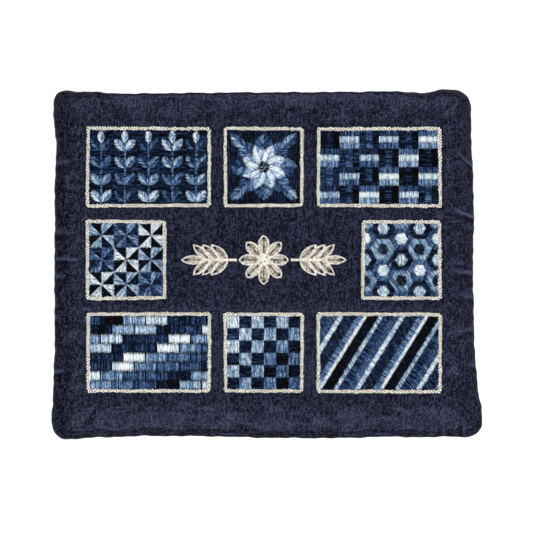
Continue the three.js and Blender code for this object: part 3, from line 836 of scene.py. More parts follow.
def stored(graph: Graph, geometry: Socket, name: str, value: Socket) -> Socket:
    """Adds a node that stores a number on every point and returns the geometry."""
    inputs = {"Geometry": geometry, "Name": name, "Value": value}
    kind = "GeometryNodeStoreNamedAttribute"
    return graph.node(kind, inputs, data_type="FLOAT", domain="POINT").outputs[0]


@dataclass(frozen=True)
class StitchTree:
    """The node tree that lays a thread on every stitch's point."""

    sides: int = 3
    steps: int = 3
    dip: float = 0.4
    crown: float = 0.9
    end_radius: float = 0.42

    def build(self) -> bpy.types.NodeTree:
        """Builds the tree, whose points say each stitch's turn, tip, stretch and tone."""
        inputs = {
            "Stitches": "NodeSocketGeometry",
            "Dye": "NodeSocketFloat",
            "Seed": "NodeSocketInt",
            "Thread": "NodeSocketMaterial",
        }
        tree = new_group("laid stitches", inputs, {"Threads": "NodeSocketGeometry"}, "GeometryNodeTree")
        graph = Graph(tree)
        given = graph.node("NodeGroupInput").outputs
        arch = graph.node("GeometryNodeCurveQuadraticBezier", {
            "Resolution": self.steps,
            "Start": (-0.5, 0.0, -self.dip), "Middle": (0.0, 0.0, self.crown), "End": (0.5, 0.0, -self.dip),
        })
        along = graph.node("GeometryNodeSplineParameter").outputs["Factor"]
        fullness = graph.math("SINE", graph.math("MULTIPLY", along, math.pi))
        radius = graph.spread(fullness, 0.0, 0.85, self.end_radius, 1.0)
        section = graph.circle(self.sides, 0.5)
        thread = graph.node("GeometryNodeCurveToMesh", {
            "Curve": arch.outputs[0], "Profile Curve": section, "Scale": radius, "Fill Caps": True,
        })
        shift = graph.random(graph.math("MULTIPLY", given["Dye"], -1.0), given["Dye"], given["Seed"])
        shade = graph.math("ADD", named(graph, "tone", "FLOAT"), shift)
        points = stored(graph, given["Stitches"], "tone", shade)
        lean = graph.node("ShaderNodeCombineXYZ", {
            "Y": named(graph, "tip", "FLOAT"), "Z": named(graph, "turn", "FLOAT"),
        })
        rotation = graph.node("FunctionNodeEulerToRotation", {0: lean.outputs[0]})
        laid = graph.node("GeometryNodeInstanceOnPoints", {
            "Points": points, "Instance": thread.outputs[0],
            "Rotation": rotation.outputs[0], "Scale": named(graph, "stretch", "FLOAT_VECTOR"),
        })
        graph.put_out("Threads", laid.outputs[0], given["Thread"])
        return tree


@dataclass(frozen=True)
class CordTree:
    """The node tree that twists two strands round a line, with painted shade on each strand's inner side."""

    sides: int = 8
    thinnest: float = 0.72
    nubs: float = 0.14
    nub_size: float = 1.3 * MM

    def build(self) -> bpy.types.NodeTree:
        """Builds the tree, whose turns are the twists in the whole line."""
        inputs = {
            "Line": "NodeSocketGeometry",
            "Step": "NodeSocketFloat",
            "Strand": "NodeSocketFloat",
            "Offset": "NodeSocketFloat",
            "Turns": "NodeSocketFloat",
            "Seed": "NodeSocketInt",
            "Thread": "NodeSocketMaterial",
        }
        tree = new_group("twisted cord", inputs, {"Cord": "NodeSocketGeometry"}, "GeometryNodeTree")
        graph = Graph(tree)
        given = graph.node("NodeGroupInput").outputs
        line = graph.node("GeometryNodeMeshToCurve", {"Mesh": given["Line"]})
        steps = {"Curve": line.outputs[0], "Length": given["Step"]}
        line = graph.node("GeometryNodeResampleCurve", steps, mode="LENGTH")
        line = graph.node("GeometryNodeSetCurveNormal", {"Curve": line.outputs[0]}, mode="Z_UP")
        along = graph.node("GeometryNodeSplineParameter").outputs["Factor"]
        tilt = graph.math("MULTIPLY", graph.math("MULTIPLY", along, given["Turns"]), 2 * math.pi)
        line = graph.node("GeometryNodeSetCurveTilt", {"Curve": line.outputs[0], "Tilt": tilt})
        section = graph.circle(self.sides, given["Strand"])
        strands = graph.node("GeometryNodeJoinGeometry")
        for side in (1.0, -1.0):
            place = graph.node("ShaderNodeCombineXYZ", {"X": graph.math("MULTIPLY", given["Offset"], side)})
            moved = graph.node("GeometryNodeTransform", {
                "Geometry": section, "Translation": place.outputs[0],
            })
            tree.links.new(moved.outputs[0], strands.inputs[0])
        # painted shade: each strand is darker on its inner side, next to the other strand, where shade falls
        # between them
        across = graph.node("ShaderNodeSeparateXYZ", {0: graph.node("GeometryNodeInputPosition").outputs[0]})
        reach = graph.math("DIVIDE", graph.math("ABSOLUTE", across.outputs[0]), given["Offset"])
        tone = graph.spread(reach, 0.1, 1.7, 0.0, 1.0)
        strands = stored(graph, strands.outputs[0], "tone", tone)
        nub = graph.random(-self.nubs, self.nubs, given["Seed"])
        line = stored(graph, line.outputs[0], "nub", nub)
        place = graph.node("GeometryNodeInputPosition").outputs[0]
        swelling = graph.noise(place, (self.nub_size,) * 3, 1.0)
        cord = graph.node("GeometryNodeCurveToMesh", {
            "Curve": line, "Profile Curve": strands, "Fill Caps": True,
            "Scale": graph.spread(swelling, 0.35, 0.65, self.thinnest, 2 - self.thinnest),
        })
        # painted shade from the strand's side, plus the random nub tone
        shade = graph.math("ADD", named(graph, "tone", "FLOAT"), named(graph, "nub", "FLOAT"))
        shaded = stored(graph, cord.outputs[0], "tone", shade)
        graph.put_out("Cord", shaded, given["Thread"])
        return tree


STITCH_TREE = StitchTree().build()
CORD_TREE = CordTree().build()


@dataclass
class ClothPanel:
    """One of the bag's two cloth faces: a sheet grown from the seam, settled, then given its thickness."""

    name: str
    node: str
    panel: PanelForm
    rests_on: str
    places: list[Box] = field(default_factory=list)
    first_step: float = 0.55 * MM
    growth: float = 1.2
    margin_step: float = 1.25 * MM
    margin: float = 25 * MM
    middle_steps: Place = (4.4 * MM, 2.0 * MM)
    tuck: float = 0.7 * MM
    tuck_closing: float = 0.12 * MM
    thickness: float = 1.5 * MM
    flat: Place = (0.256, 0.211)
    swell_frames: int = 20
    swell_pressure: float = 4.0
    swell_slack: float = -0.02
    swell_most: float = 1.2 * MM
    swell_stiffness: float = 0.4
    swell_start: float = 5 * MM
    swell_fade: Place = (15 * MM, 22 * MM)
    # painted shade at the seam's edge and in fold valleys, and painted highlight on fold ridges, stored for
    # the silk's colour
    seam_shade: float = 0.8
    seam_shade_reach: float = 1.8 * MM
    painted_fold_shade_highlight: float = 1.1

    def lines(self, length: float, middle_step: float) -> Array:
        """Returns the shares of a side where the grid has lines: close at the seams, wider in the field."""
        places, step = [0.0], self.first_step
        while places[-1] < self.margin:
            places.append(places[-1] + step)
            step = min(step * self.growth, self.margin_step)
        inner = length - 2 * places[-1]
        count = round(inner / middle_step)
        middle = places[-1] + inner * np.arange(1, count) / count
        near = np.array(places)
        return np.concatenate([near, middle, length - near[::-1]]) / length

    def sheet(self) -> Piece:
        """Builds the sheet, with its edge tucked into the seam."""
        step_across, step_up = self.middle_steps
        across, up = np.meshgrid(self.lines(FORM.width, step_across), self.lines(FORM.height, step_up))
        x, y = FORM.point(across, up)
        height = FORM.panel_height(self.panel, x, y)
        if self.places:
            side, end = nearest(FORM.distances(x, y))
            height += FIELD.puffed(x, y, self.places) * FORM.settle(side) * FORM.settle(end)
        points = np.stack([x, y, FORM.level(self.panel, height)], axis=-1).reshape(-1, 3)
        rows, columns = across.shape
        number = np.arange(rows * columns).reshape(rows, columns)
        quads = np.stack([number[:-1, :-1], number[:-1, 1:], number[1:, 1:], number[1:, :-1]], axis=-1)
        rim = np.concatenate([number[0, :-1], number[:-1, -1], number[-1, :0:-1], number[:0:-1, 0]])
        tucked_x, tucked_y = FORM.point(across.ravel()[rim], up.ravel()[rim], self.tuck)
        edges = FORM.distances(tucked_x, tucked_y)
        from_top = np.maximum(edges[Side.TOP] - self.tuck, 0.0)
        lift = FORM.lip_lift(tucked_x, from_top, self.panel.roll) - self.tuck_closing
        tucked = np.stack([tucked_x, tucked_y, FORM.level(self.panel, lift)], axis=-1)
        outer = len(points) + np.arange(len(rim))
        hems = np.stack([outer, np.roll(outer, -1), np.roll(rim, -1), rim], axis=-1)
        faces = np.concatenate([quads.reshape(-1, 4), hems])
        if self.panel.way < 0:
            faces = faces[:, ::-1]
        return mesh_object(self.name, np.concatenate([points, tucked]), faces)

    def swell(self, piece: Piece) -> None:
        """Lets the margin settle as cloth between the seam and the stitched field.

        Args:
            piece: The sheet, whose points are moved.
        """
        points = points_of(piece)
        inward = np.minimum(*nearest(FORM.distances(points[:, 0], points[:, 1])))
        free = ease(inward, 0.0, self.swell_start) * (1 - ease(inward, *self.swell_fade))
        group = piece.vertex_groups.new(name="held")
        for index, share in enumerate(1 - free):
            group.add([index], float(share), "REPLACE")
        cloth = piece.modifiers.new("swell", "CLOTH")
        settings = cloth.settings
        settings.vertex_group_mass = group.name
        settings.effector_weights.gravity = 0.0
        settings.use_pressure = True
        settings.uniform_pressure_force = self.swell_pressure
        settings.shrink_min = self.swell_slack
        settings.bending_stiffness = self.swell_stiffness
        cloth.point_cache.frame_start = 1
        cloth.point_cache.frame_end = self.swell_frames
        scene = bpy.context.scene
        for frame_number in range(1, self.swell_frames + 1):
            scene.frame_set(frame_number)
        evaluated = piece.evaluated_get(bpy.context.evaluated_depsgraph_get())
        moved = (points_of(evaluated) - points) * np.array([0.0, 0.0, 1.0])
        piece.modifiers.clear()
        scene.frame_set(1)
        far = np.linalg.norm(moved, axis=1, keepdims=True)
        share = np.minimum(1.0, self.swell_most / np.maximum(far, 1e-9))
        log.info("%s: settled by up to %.2f mm before the cap", self.name, far.max() / MM)
        place_points(piece, points + moved * share)

    def crease(self, piece: Piece) -> None:
        """Presses the folds, gathers and groove into the margin, and keeps the cloth off the table.

        Args:
            piece: The settled sheet, whose points are moved.
        """
        points = points_of(piece)
        points[:, 2] -= self.panel.way * FORM.relief(self.panel, points[:, 0], points[:, 1])
        points[:, 2] = np.maximum(points[:, 2], 0.0)
        points[:, :2] += FORM.unevenness(points[:, 0], points[:, 1])
        place_points(piece, points)

    def paint_shade_highlight(self, piece: Piece) -> None:
        """Stores painted shade for each point, darker where the cloth turns in at the seam and in a fold's
        valley, with a painted highlight below zero on a fold's ridge.
        """
        points = points_of(piece)
        edges = FORM.distances(points[:, 0], points[:, 1])
        inward = np.minimum(*nearest(edges))
        # painted shade along the seam's edge
        seam_painted_shade = self.seam_shade * (1 - ease(inward, 0.0, self.seam_shade_reach))
        # painted shade in fold valleys and painted highlight on fold ridges
        folds = FORM.fold_relief(points[:, 0], points[:, 1], edges) / FORM.fold_depth
        fold_painted_shade_highlight = self.panel.folded * self.painted_fold_shade_highlight * np.clip(folds, -1.0, 1.0)
        attribute = piece.data.attributes.new("painted_shade_highlight", "FLOAT", "POINT")
        attribute.data.foreach_set("value", np.minimum(seam_painted_shade + fold_painted_shade_highlight, 1.0))

    def build(self) -> Piece:
        """Builds, settles, creases and finishes the panel."""
        piece = self.sheet()
        self.swell(piece)
        smooth = piece.modifiers.new("smooth", "SUBSURF")
        smooth.levels = 1
        smooth.render_levels = 1
        self.crease(bake(piece))
        wall = piece.modifiers.new("wall", "SOLIDIFY")
        wall.thickness = self.thickness
        wall.offset = -1.0
        bake(piece)
        self.paint_shade_highlight(piece)
        hand_in(piece, SILK, self.node)
        return piece


@dataclass(frozen=True)
class Patch:
    """A patch of stitching: its outline, how its stitches turn, their tone and their lift."""

    outline: Array
    turn: float
    tone: float
    lift: float = 0.0


def clipped(outline: Array, half_width: float, half_height: float) -> Array:
    """Cuts an outline off at the edges of a block.

    Args:
        outline: The outline's points.
        half_width: Half the block's width.
        half_height: Half the block's height.

    Returns:
        The points of what lies inside, or no points.
    """
    limits = (half_width, half_height)
    for axis, way in ((0, 1), (0, -1), (1, 1), (1, -1)):
        limit, kept = limits[axis], []
        for here, after in zip(outline, np.roll(outline, -1, axis=0)):
            inside, next_inside = way * here[axis] <= limit, way * after[axis] <= limit
            if inside:
                kept.append(here)
            if inside != next_inside:
                share = (way * limit - here[axis]) / (after[axis] - here[axis])
                kept.append(here + (after - here) * share)
        if len(kept) < 3:
            return np.zeros((0, 2))
        outline = np.array(kept)
    return outline


def turned(points: Array, angle: float, centre: Place = (0.0, 0.0)) -> Array:
    """Returns points turned about the origin and then moved to a centre."""
    cos, sin = math.cos(angle), math.sin(angle)
    return points @ np.array([[cos, sin], [-sin, cos]]) + np.array(centre)


def oblong(low_x: float, low_y: float, high_x: float, high_y: float) -> Array:
    """Returns an oblong's outline."""
    return np.array([(low_x, low_y), (high_x, low_y), (high_x, high_y), (low_x, high_y)])


def ring(radius: float, corners: int) -> Array:
    """Returns the outline of a regular shape with a number of corners."""
    angles = 2 * math.pi * np.arange(corners) / corners
    return radius * np.stack([np.cos(angles), np.sin(angles)], axis=-1)


def leaf_side(length: float, half_width: float, belly: float, steps: int = 10) -> Array:
    """Returns one curved side of a leaf that lies along X from the origin."""
    share = np.linspace(0.0, 1.0, steps)
    across = 4 * half_width * share * (1 - share)
    along = 2 * belly * length * share * (1 - share) + length * share**2
    return np.stack([along, across], axis=-1)


def leaf(length: float, half_width: float, belly: float = 0.5) -> Array:
    """Returns a leaf's outline, along X from the origin."""
    side = leaf_side(length, half_width, belly)
    return np.concatenate([side[::-1], side[1:-1] * np.array([1, -1])])


def ground(half_width: float, half_height: float, turn: float, tone: float) -> Patch:
    """Returns a patch over the whole of a block."""
    return Patch(oblong(-half_width, -half_height, half_width, half_height), turn, tone)


@dataclass(frozen=True)
class StitchFill:
    """How patches are filled with rows of stitches."""

    pitch: float = 0.6 * MM
    longest: float = 5.6 * MM
    shortest: float = 0.35 * MM
    thread: float = 0.68 * MM
    height: float = 0.6 * MM
    ragged: float = 0.2 * MM
    dye: float = 0.16
    bond: float = 0.22
    scatter: float = 0.08
    full_length: float = 3 * MM
    lowest: float = 0.55
    seat_share: float = 0.4
    overlap: float = 0.5
    unevenness: float = 0.03

    def spans(self, outline: Array, level: float) -> list[Place]:
        """Returns the stretches of a level line that lie inside an outline."""
        start, stop = outline, np.roll(outline, -1, axis=0)
        crosses = (start[:, 1] > level) != (stop[:, 1] > level)
        start, stop = start[crosses], stop[crosses]
        part_way = (level - start[:, 1]) / (stop[:, 1] - start[:, 1])
        places = start[:, 0] + part_way * (stop[:, 0] - start[:, 0])
        places = np.sort(places)
        return list(zip(places[::2], places[1::2]))

    def rows(self, patch: Patch, chance: np.random.Generator) -> list[tuple[float, ...]]:
        """Lays a patch's stitches side by side.

        Args:
            patch: The patch.
            chance: Where the small irregularities come from.

        Returns:
            A row for each stitch: its middle, turn, length, tone and lift.
        """
        if not len(patch.outline):
            return []
        level_outline = turned(patch.outline, -patch.turn)
        low, high = level_outline[:, 1].min(), level_outline[:, 1].max()
        count = max(1, round((high - low) / self.pitch))
        rows = []
        for line in range(count):
            level = low + (line + 0.5) * (high - low) / count
            for start, stop in self.spans(level_outline, level):
                ends = chance.normal(0.0, self.ragged, 2)
                start, stop = start - ends[0] * 0.5, stop + ends[1] * 0.5
                if stop - start < self.shortest:
                    continue
                parts = math.ceil((stop - start) / self.longest)
                cuts = np.linspace(start, stop, parts + 1)
                if parts > 1:
                    shift = (line % 3 - 1) * self.bond + chance.uniform(-self.scatter, self.scatter)
                    cuts[1:-1] += shift * self.longest
                for near, far in zip(cuts, cuts[1:]):
                    middle = turned(np.array([((near + far) / 2, level)]), patch.turn)[0]
                    rows.append((*middle, patch.turn, far - near, patch.tone, patch.lift))
        return rows

    def sew(self, name: str, patches: list[Patch], centre: Place, finish: Finish,
            seed: int) -> Piece:
        """Sews patches onto the face.

        Args:
            name: The piece's name.
            patches: Its patches, about their own centre.
            centre: Where that centre is on the face.
            finish: The thread's finish.
            seed: What the irregularities start from.

        Returns:
            The threads, as one mesh.
        """
        chance = np.random.default_rng(SEED + seed)
        rows = np.array([row for patch in patches for row in self.rows(patch, chance)])
        x, y = rows[:, 0] + centre[0], rows[:, 1] + centre[1]
        height = self.height * np.clip(rows[:, 3] / self.full_length, self.lowest, 1.0)
        seat = FORM.face(x, y) + rows[:, 5] + self.seat_share * self.height
        piece = mesh_object(name, np.stack([x, y, seat], axis=-1))
        half = rows[:, 3] / 2
        far_seat = FORM.face(x + half * np.cos(rows[:, 2]), y + half * np.sin(rows[:, 2]))
        near_seat = FORM.face(x - half * np.cos(rows[:, 2]), y - half * np.sin(rows[:, 2]))
        tip = -np.arctan2(far_seat - near_seat, rows[:, 3])
        length = rows[:, 3] + self.overlap * self.thread
        stretch = np.stack([length, np.full_like(x, self.thread), height], axis=-1)
        for key, kind, values in (
            ("turn", "FLOAT", rows[:, 2] + chance.normal(0.0, self.unevenness, len(rows))),
            ("tip", "FLOAT", tip),
            ("tone", "FLOAT", rows[:, 4]),
            ("stretch", "FLOAT_VECTOR", stretch),
        ):
            attribute = piece.data.attributes.new(key, kind, "POINT")
            attribute.data.foreach_set("value" if kind == "FLOAT" else "vector", np.asarray(values).ravel())
        values = {"Dye": self.dye, "Seed": SEED + seed, "Thread": material_of(finish)}
        log.info("%s: %d stitches", name, len(rows))
        return smooth_shaded(grown(piece, STITCH_TREE, values))


class Motif:
    """The pattern of one stitched block, about the block's own centre."""

    def patches(self, half_width: float, half_height: float) -> list[Patch]:
        """Returns the pattern's patches for half the block's width and height."""
        raise NotImplementedError


@dataclass(frozen=True)
class Chequer(Motif):
    """Small squares whose stitches turn from one to the next."""

    cells: int = 6

    def patches(self, half_width: float, half_height: float) -> list[Patch]:
        """Returns a patch for each square."""
        found = []
        for row in range(self.cells):
            for column in range(self.cells):
                low_x = -half_width + 2 * half_width * column / self.cells
                low_y = -half_height + 2 * half_height * row / self.cells
                high_x, high_y = low_x + 2 * half_width / self.cells, low_y + 2 * half_height / self.cells
                odd = (row + column) % 2
                drift = (row + self.cells - column) / (2 * self.cells)
                tone = 0.42 + 0.55 * drift if odd else 0.05 + 0.3 * drift
                outline = oblong(low_x, low_y, high_x, high_y)
                found.append(Patch(outline, math.pi / 2 * odd, tone))
        return found


@dataclass(frozen=True)
class Bricks(Motif):
    """Upright-stitched bricks in running bond."""

    length: float = 12.4 * MM
    courses: int = 8
    joint: float = 0.35 * MM
    tones: tuple[float, ...] = (0.62, 0.3, 0.84, 0.16, 0.5, 0.95, 0.24, 0.7, 0.4)

    def patches(self, half_width: float, half_height: float) -> list[Patch]:
        """Returns a patch for each brick."""
        found = [ground(half_width, half_height, 0.0, 0.03)]
        height = 2 * half_height / self.courses
        count = math.ceil(2 * half_width / self.length) + 1
        for course in range(self.courses):
            for number in range(count):
                low_x = -half_width + (number - 0.5 * (course % 2)) * self.length
                low_y = -half_height + course * height
                outline = oblong(low_x + self.joint, low_y + self.joint,
                                 low_x + self.length - self.joint, low_y + height - self.joint)
                tone = self.tones[(number * 4 + course * 5) % len(self.tones)]
                found.append(Patch(clipped(outline, half_width, half_height), math.pi / 2, tone, 0.2 * MM))
        return found


@dataclass(frozen=True)
class Stripes(Motif):
    """Slanting stripes of several widths."""

    widths: tuple[float, ...] = (4.2, 2.0, 5.6, 1.8, 3.0, 6.2, 2.4, 3.6)
    tones: tuple[float, ...] = (0.3, 0.78, 0.06, 0.96, 0.56, 0.24, 0.88, 0.44)
    slant: float = math.radians(58)

    def patches(self, half_width: float, half_height: float) -> list[Patch]:
        """Returns a patch for each stripe."""
        found = []
        reach = half_width + half_height
        start, number = -reach, 0
        while start < reach:
            width = self.widths[number % len(self.widths)] * MM
            outline = turned(oblong(-2 * reach, start, 2 * reach, start + width), self.slant)
            tone = self.tones[number % len(self.tones)]
            across = self.slant + math.pi / 2 - (0.5 if number % 2 else 0.0)
            found.append(Patch(clipped(outline, half_width, half_height), across, tone))
            start, number = start + width, number + 1
        return found


@dataclass(frozen=True)
class Basket(Motif):
    """Groups of three bars that lie by turns across and along, as in a woven basket."""

    rows: int = 4
    columns: int = 6
    bars: int = 3
    tones: tuple[float, ...] = (0.6, 0.86, 0.4, 0.18, 0.32, 0.1)

    def patches(self, half_width: float, half_height: float) -> list[Patch]:
        """Returns a patch for each bar."""
        found = []
        wide, high = 2 * half_width / self.columns, 2 * half_height / self.rows
        for row in range(self.rows):
            for column in range(self.columns):
                low_x, low_y = -half_width + column * wide, -half_height + row * high
                upright = (row + column) % 2 == 1
                for bar in range(self.bars):
                    near, far = bar / self.bars, (bar + 1) / self.bars
                    tone = self.tones[bar + (self.bars if upright else 0)]
                    tone += 0.1 * ((row * 2 + column) % 3 - 1)
                    if upright:
                        outline = oblong(low_x + near * wide, low_y, low_x + far * wide, low_y + high)
                    else:
                        outline = oblong(low_x, low_y + near * high, low_x + wide, low_y + far * high)
                    found.append(Patch(outline, 0.0 if upright else math.pi / 2, tone))
        return found


@dataclass(frozen=True)
class Pinwheels(Motif):
    """Pinwheels of light and dark triangles."""

    cells: int = 3
    light: tuple[float, ...] = (0.92, 0.56, 0.74)
    dark: tuple[float, ...] = (0.02, 0.26, 0.12)

    def patches(self, half_width: float, half_height: float) -> list[Patch]:
        """Returns a patch for each triangle."""
        found = []
        half = np.array((half_width, half_height)) / self.cells
        corners = np.array([(1, 0), (1, 1), (0, 1), (-1, 1), (-1, 0), (-1, -1), (0, -1), (1, -1)])
        for row in range(self.cells):
            for column in range(self.cells):
                centre = np.array((2 * column - self.cells + 1, 2 * row - self.cells + 1)) * half
                kind = (row + 2 * column) % 3
                for arm in range(8):
                    outline = np.array([(0, 0), corners[arm], corners[(arm + 1) % 8]]) * half + centre
                    tone = (self.light if arm % 2 else self.dark)[kind]
                    angle = math.pi / 4 * arm + (math.pi / 8 if arm % 2 else math.pi / 2)
                    found.append(Patch(outline, angle, tone))
        return found


@dataclass(frozen=True)
class Honeycomb(Motif):
    """Six-sided cells, each with a smaller cell of another tone in it."""

    radius: float = 6.7 * MM
    core: float = 0.5
    tones: tuple[float, ...] = (0.2, 0.46, 0.68)
    core_tones: tuple[float, ...] = (0.84, 0.98, 0.1)

    def patches(self, half_width: float, half_height: float) -> list[Patch]:
        """Returns two patches for each cell."""
        found = []
        wide, high = 1.5 * self.radius, math.sqrt(3) * self.radius
        columns, rows = math.ceil(half_width / wide) + 1, math.ceil(half_height / high) + 1
        for column in range(-columns, columns + 1):
            for row in range(-rows, rows + 1):
                centre = np.array((column * wide, (row + 0.5 * (column % 2)) * high))
                kind = (row - column // 2 + 2 * column) % 3
                turn = math.pi / 3 * kind
                for size, tones, lift, extra in ((1.0, self.tones, 0.0, 0.0),
                                                 (self.core, self.core_tones, 0.3 * MM, math.pi / 2)):
                    outline = clipped(ring(size * self.radius, 6) + centre, half_width, half_height)
                    found.append(Patch(outline, turn + extra, tones[kind], lift))
        return found


def leaf_halves(outline_size: Size, angle: float, centre: Place,
                tones: Place, lift: float) -> list[Patch]:
    """Returns a leaf's two halves, whose stitches slant out from its vein.

    Args:
        outline_size: The leaf's length, half its width and where its belly is.
        angle: The way that it points.
        centre: Where its stalk is.
        tones: The tones of its two halves.
        lift: How far it stands up.

    Returns:
        The two patches.
    """
    side = leaf_side(*outline_size)
    found = []
    for way, tone in zip((1, -1), tones):
        half = turned(side * np.array([1, way]), angle, centre)
        found.append(Patch(half, angle + way * math.radians(42), tone, lift))
    return found


@dataclass(frozen=True)
class LeafRows(Motif):
    """Upright stems with paired leaves on a dark ground."""

    stems: int = 5
    pairs: int = 4
    size: Size = (8.2 * MM, 2.1 * MM, 0.42)
    spread: float = math.radians(38)
    stem_width: float = 0.9 * MM

    def patches(self, half_width: float, half_height: float) -> list[Patch]:
        """Returns the ground, the stems and the halves of each leaf."""
        found = [ground(half_width, half_height, 0.0, 0.2)]
        wide, high = 2 * half_width / self.stems, 2 * half_height / (self.pairs + 0.35)
        for stem in range(self.stems):
            middle = -half_width + (stem + 0.5) * wide
            half_stem = self.stem_width / 2
            outline = oblong(middle - half_stem, -half_height, middle + half_stem, half_height - 3 * MM)
            found.append(Patch(outline, 0.3, 0.5, 0.2 * MM))
            for pair in range(self.pairs):
                base = -half_height + (pair + 0.12) * high
                share = pair / (self.pairs - 1)
                light = 0.44 + 0.42 * (share if stem % 2 else 1 - share)
                for way in (1, -1):
                    angle = math.pi / 2 - way * self.spread
                    place = (middle + way * half_stem, base)
                    tones = (light, light - 0.18)
                    found += leaf_halves(self.size, angle, place, tones, 0.3 * MM)
            tip = (middle, half_height - 7.4 * MM)
            found += leaf_halves((7.2 * MM, 1.7 * MM, 0.5), math.pi / 2, tip, (0.9, 0.72), 0.35 * MM)
        return found


@dataclass(frozen=True)
class Flower(Motif):
    """A round flower of two rings of petals on a dark ground, with a leaf in each corner."""

    petals: int = 8
    outer: Size = (18.4 * MM, 5.4 * MM, 0.66)
    inner: Size = (12.6 * MM, 3.2 * MM, 0.6)
    corner: Size = (11.5 * MM, 3.0 * MM, 0.45)
    eye: float = 3.3 * MM

    def patches(self, half_width: float, half_height: float) -> list[Patch]:
        """Returns the ground, the corner leaves, both rings of petals and the eye."""
        found = [ground(half_width, half_height, math.pi / 2, 0.16)]
        for number in range(4):
            angle = math.pi / 4 + math.pi / 2 * number
            place = tuple(turned(np.array([(14.4 * MM, 0.0)]), angle)[0])
            found += leaf_halves(self.corner, angle, place, (0.66, 0.5), 0.15 * MM)
        for number in range(self.petals):
            angle = 2 * math.pi * number / self.petals
            found += leaf_halves(self.outer, angle, (0.0, 0.0), (0.54, 0.38), 0.2 * MM)
        for number in range(self.petals):
            angle = 2 * math.pi * (number + 0.5) / self.petals
            found += leaf_halves(self.inner, angle, (0.0, 0.0), (0.96, 0.78), 0.4 * MM)
        found.append(Patch(ring(self.eye, 16), 0.4, 0.12, 0.6 * MM))
        return found


@dataclass(frozen=True)
class CordLayer:
    """How a cord is twisted and laid along a line on the face."""

    step: float = 0.34 * MM
    strand: float = 0.56 * MM
    offset: float = 0.48 * MM
    pitch: float = 3.0 * MM
    flatness: float = 0.8

    def lay(self, name: str, lines: list[Array], seed: int, lift: float = 0.0) -> Piece:
        """Lays the cord round closed lines of about one length.

        Args:
            name: The piece's name.
            lines: Each line's points, X and Y.
            seed: What its unevenness starts from.
            lift: How far its seat is above the face.

        Returns:
            The twisted cord, as one mesh.
        """
        half = self.flatness * (self.strand + self.offset)
        edges, first = [], 0
        for line in lines:
            number = first + np.arange(len(line))
            edges.append(np.column_stack([number, np.roll(number, -1)]))
            first += len(line)
        flat = np.concatenate(lines)
        points = np.column_stack([flat, FORM.face(flat[:, 0], flat[:, 1]) + lift + half])
        piece = mesh_object(name, points, edges=np.concatenate(edges))
        length = np.linalg.norm(lines[0] - np.roll(lines[0], -1, axis=0), axis=1).sum()
        grown(piece, CORD_TREE, {
            "Step": self.step, "Strand": self.strand, "Offset": self.offset, "Seed": SEED + seed,
            "Turns": float(round(length / self.pitch)), "Thread": material_of(CREAM_THREAD),
        })
        points = points_of(piece)
        centre = FORM.face(points[:, 0], points[:, 1]) + lift + half
        points[:, 2] = centre + (points[:, 2] - centre) * self.flatness
        place_points(piece, points)
        return smooth_shaded(piece)


CORNERS = ((1, 1), (-1, 1), (-1, -1), (1, -1))


@dataclass
class StitchedBlock:
    """A block of stitching in its corded frame."""

    name: str
    column: Column
    row: Row
    motif: Motif
    finish: ThreadFinish
    seed: int
    stitch_inset: float = 2.0 * MM
    cord_inset: float = 1.25 * MM
    corner: float = 0.9 * MM
    unsteady: float = 0.13 * MM
    askew: float = 0.35 * MM
    sways: tuple[int, ...] = (7, 12, 19, 31)
    sway_lag: float = 1.3
    fill: StitchFill = StitchFill()
    cord: CordLayer = CordLayer()

    @property
    def place(self) -> Box:
        """The block's lowest X, lowest Y, highest X and highest Y."""
        return FIELD.bounds(self.column, self.row)

    @property
    def centre(self) -> Place:
        """The block's centre."""
        low_x, low_y, high_x, high_y = self.place
        return (low_x + high_x) / 2, (low_y + high_y) / 2

    def stitches(self) -> Piece:
        """Sews the block's pattern."""
        low_x, low_y, high_x, high_y = self.place
        half_width = (high_x - low_x) / 2 - self.stitch_inset
        half_height = (high_y - low_y) / 2 - self.stitch_inset
        patches = self.motif.patches(half_width, half_height)
        piece = self.fill.sew(f"{self.name}_stitches", patches, self.centre, self.finish, self.seed)
        return hand_in(piece, self.finish, f"{self.name}_stitching")

    def frame_line(self) -> Array:
        """Returns the line that the cord follows: the block's edge, a little unsteady and askew."""
        low_x, low_y, high_x, high_y = self.place
        chance = np.random.default_rng(SEED * 100 + self.seed)
        half = np.array([high_x - low_x, high_y - low_y]) / 2 - self.cord_inset
        corners = []
        for number, corner in enumerate(CORNERS):
            angles = math.pi / 2 * number + np.linspace(0, math.pi / 2, 4)
            middle = np.array(corner) * (half - self.corner)
            corners.append(middle + self.corner * np.stack([np.cos(angles), np.sin(angles)], axis=-1))
        outline = np.concatenate(corners)
        after = np.roll(outline, -1, axis=0)
        points = []
        for here, there in zip(outline, after):
            count = max(1, round(float(np.linalg.norm(there - here)) / MM))
            points.append(here + (there - here) * np.arange(count)[:, None] / count)
        line = np.concatenate(points)
        share = line / half
        skew = chance.uniform(-self.askew, self.askew, (4, 2))
        for (way_x, way_y), pull in zip(CORNERS, skew):
            near = (1 + way_x * share[:, 0]) * (1 + way_y * share[:, 1]) / 4
            line = line + near[:, None] * pull
        phase = 2 * math.pi * np.arange(len(line)) / len(line)
        for waves in self.sways:
            angle = waves * phase + chance.uniform(0, 2 * math.pi)
            sway = np.stack([np.sin(angle), np.cos(angle + self.sway_lag)], axis=-1)
            line = line + self.unsteady * 0.5 * sway
        return line + np.array(self.centre)

    def frame_cord(self) -> Piece:
        """Lays the cord round the block."""
        piece = self.cord.lay(f"{self.name}_twisted_cord", [self.frame_line()], self.seed)
        return hand_in(piece, CREAM_THREAD, f"{self.name}_cord")


FINE_CORD = CordLayer(step=0.26 * MM, strand=0.3 * MM, offset=0.22 * MM, pitch=1.9 * MM, flatness=0.9)
SATIN = StitchFill(pitch=0.4 * MM, longest=9 * MM, thread=0.52 * MM, height=0.55 * MM,
                   ragged=0.06 * MM, dye=0.05)
SATIN_TONES = (0.58, 0.46)


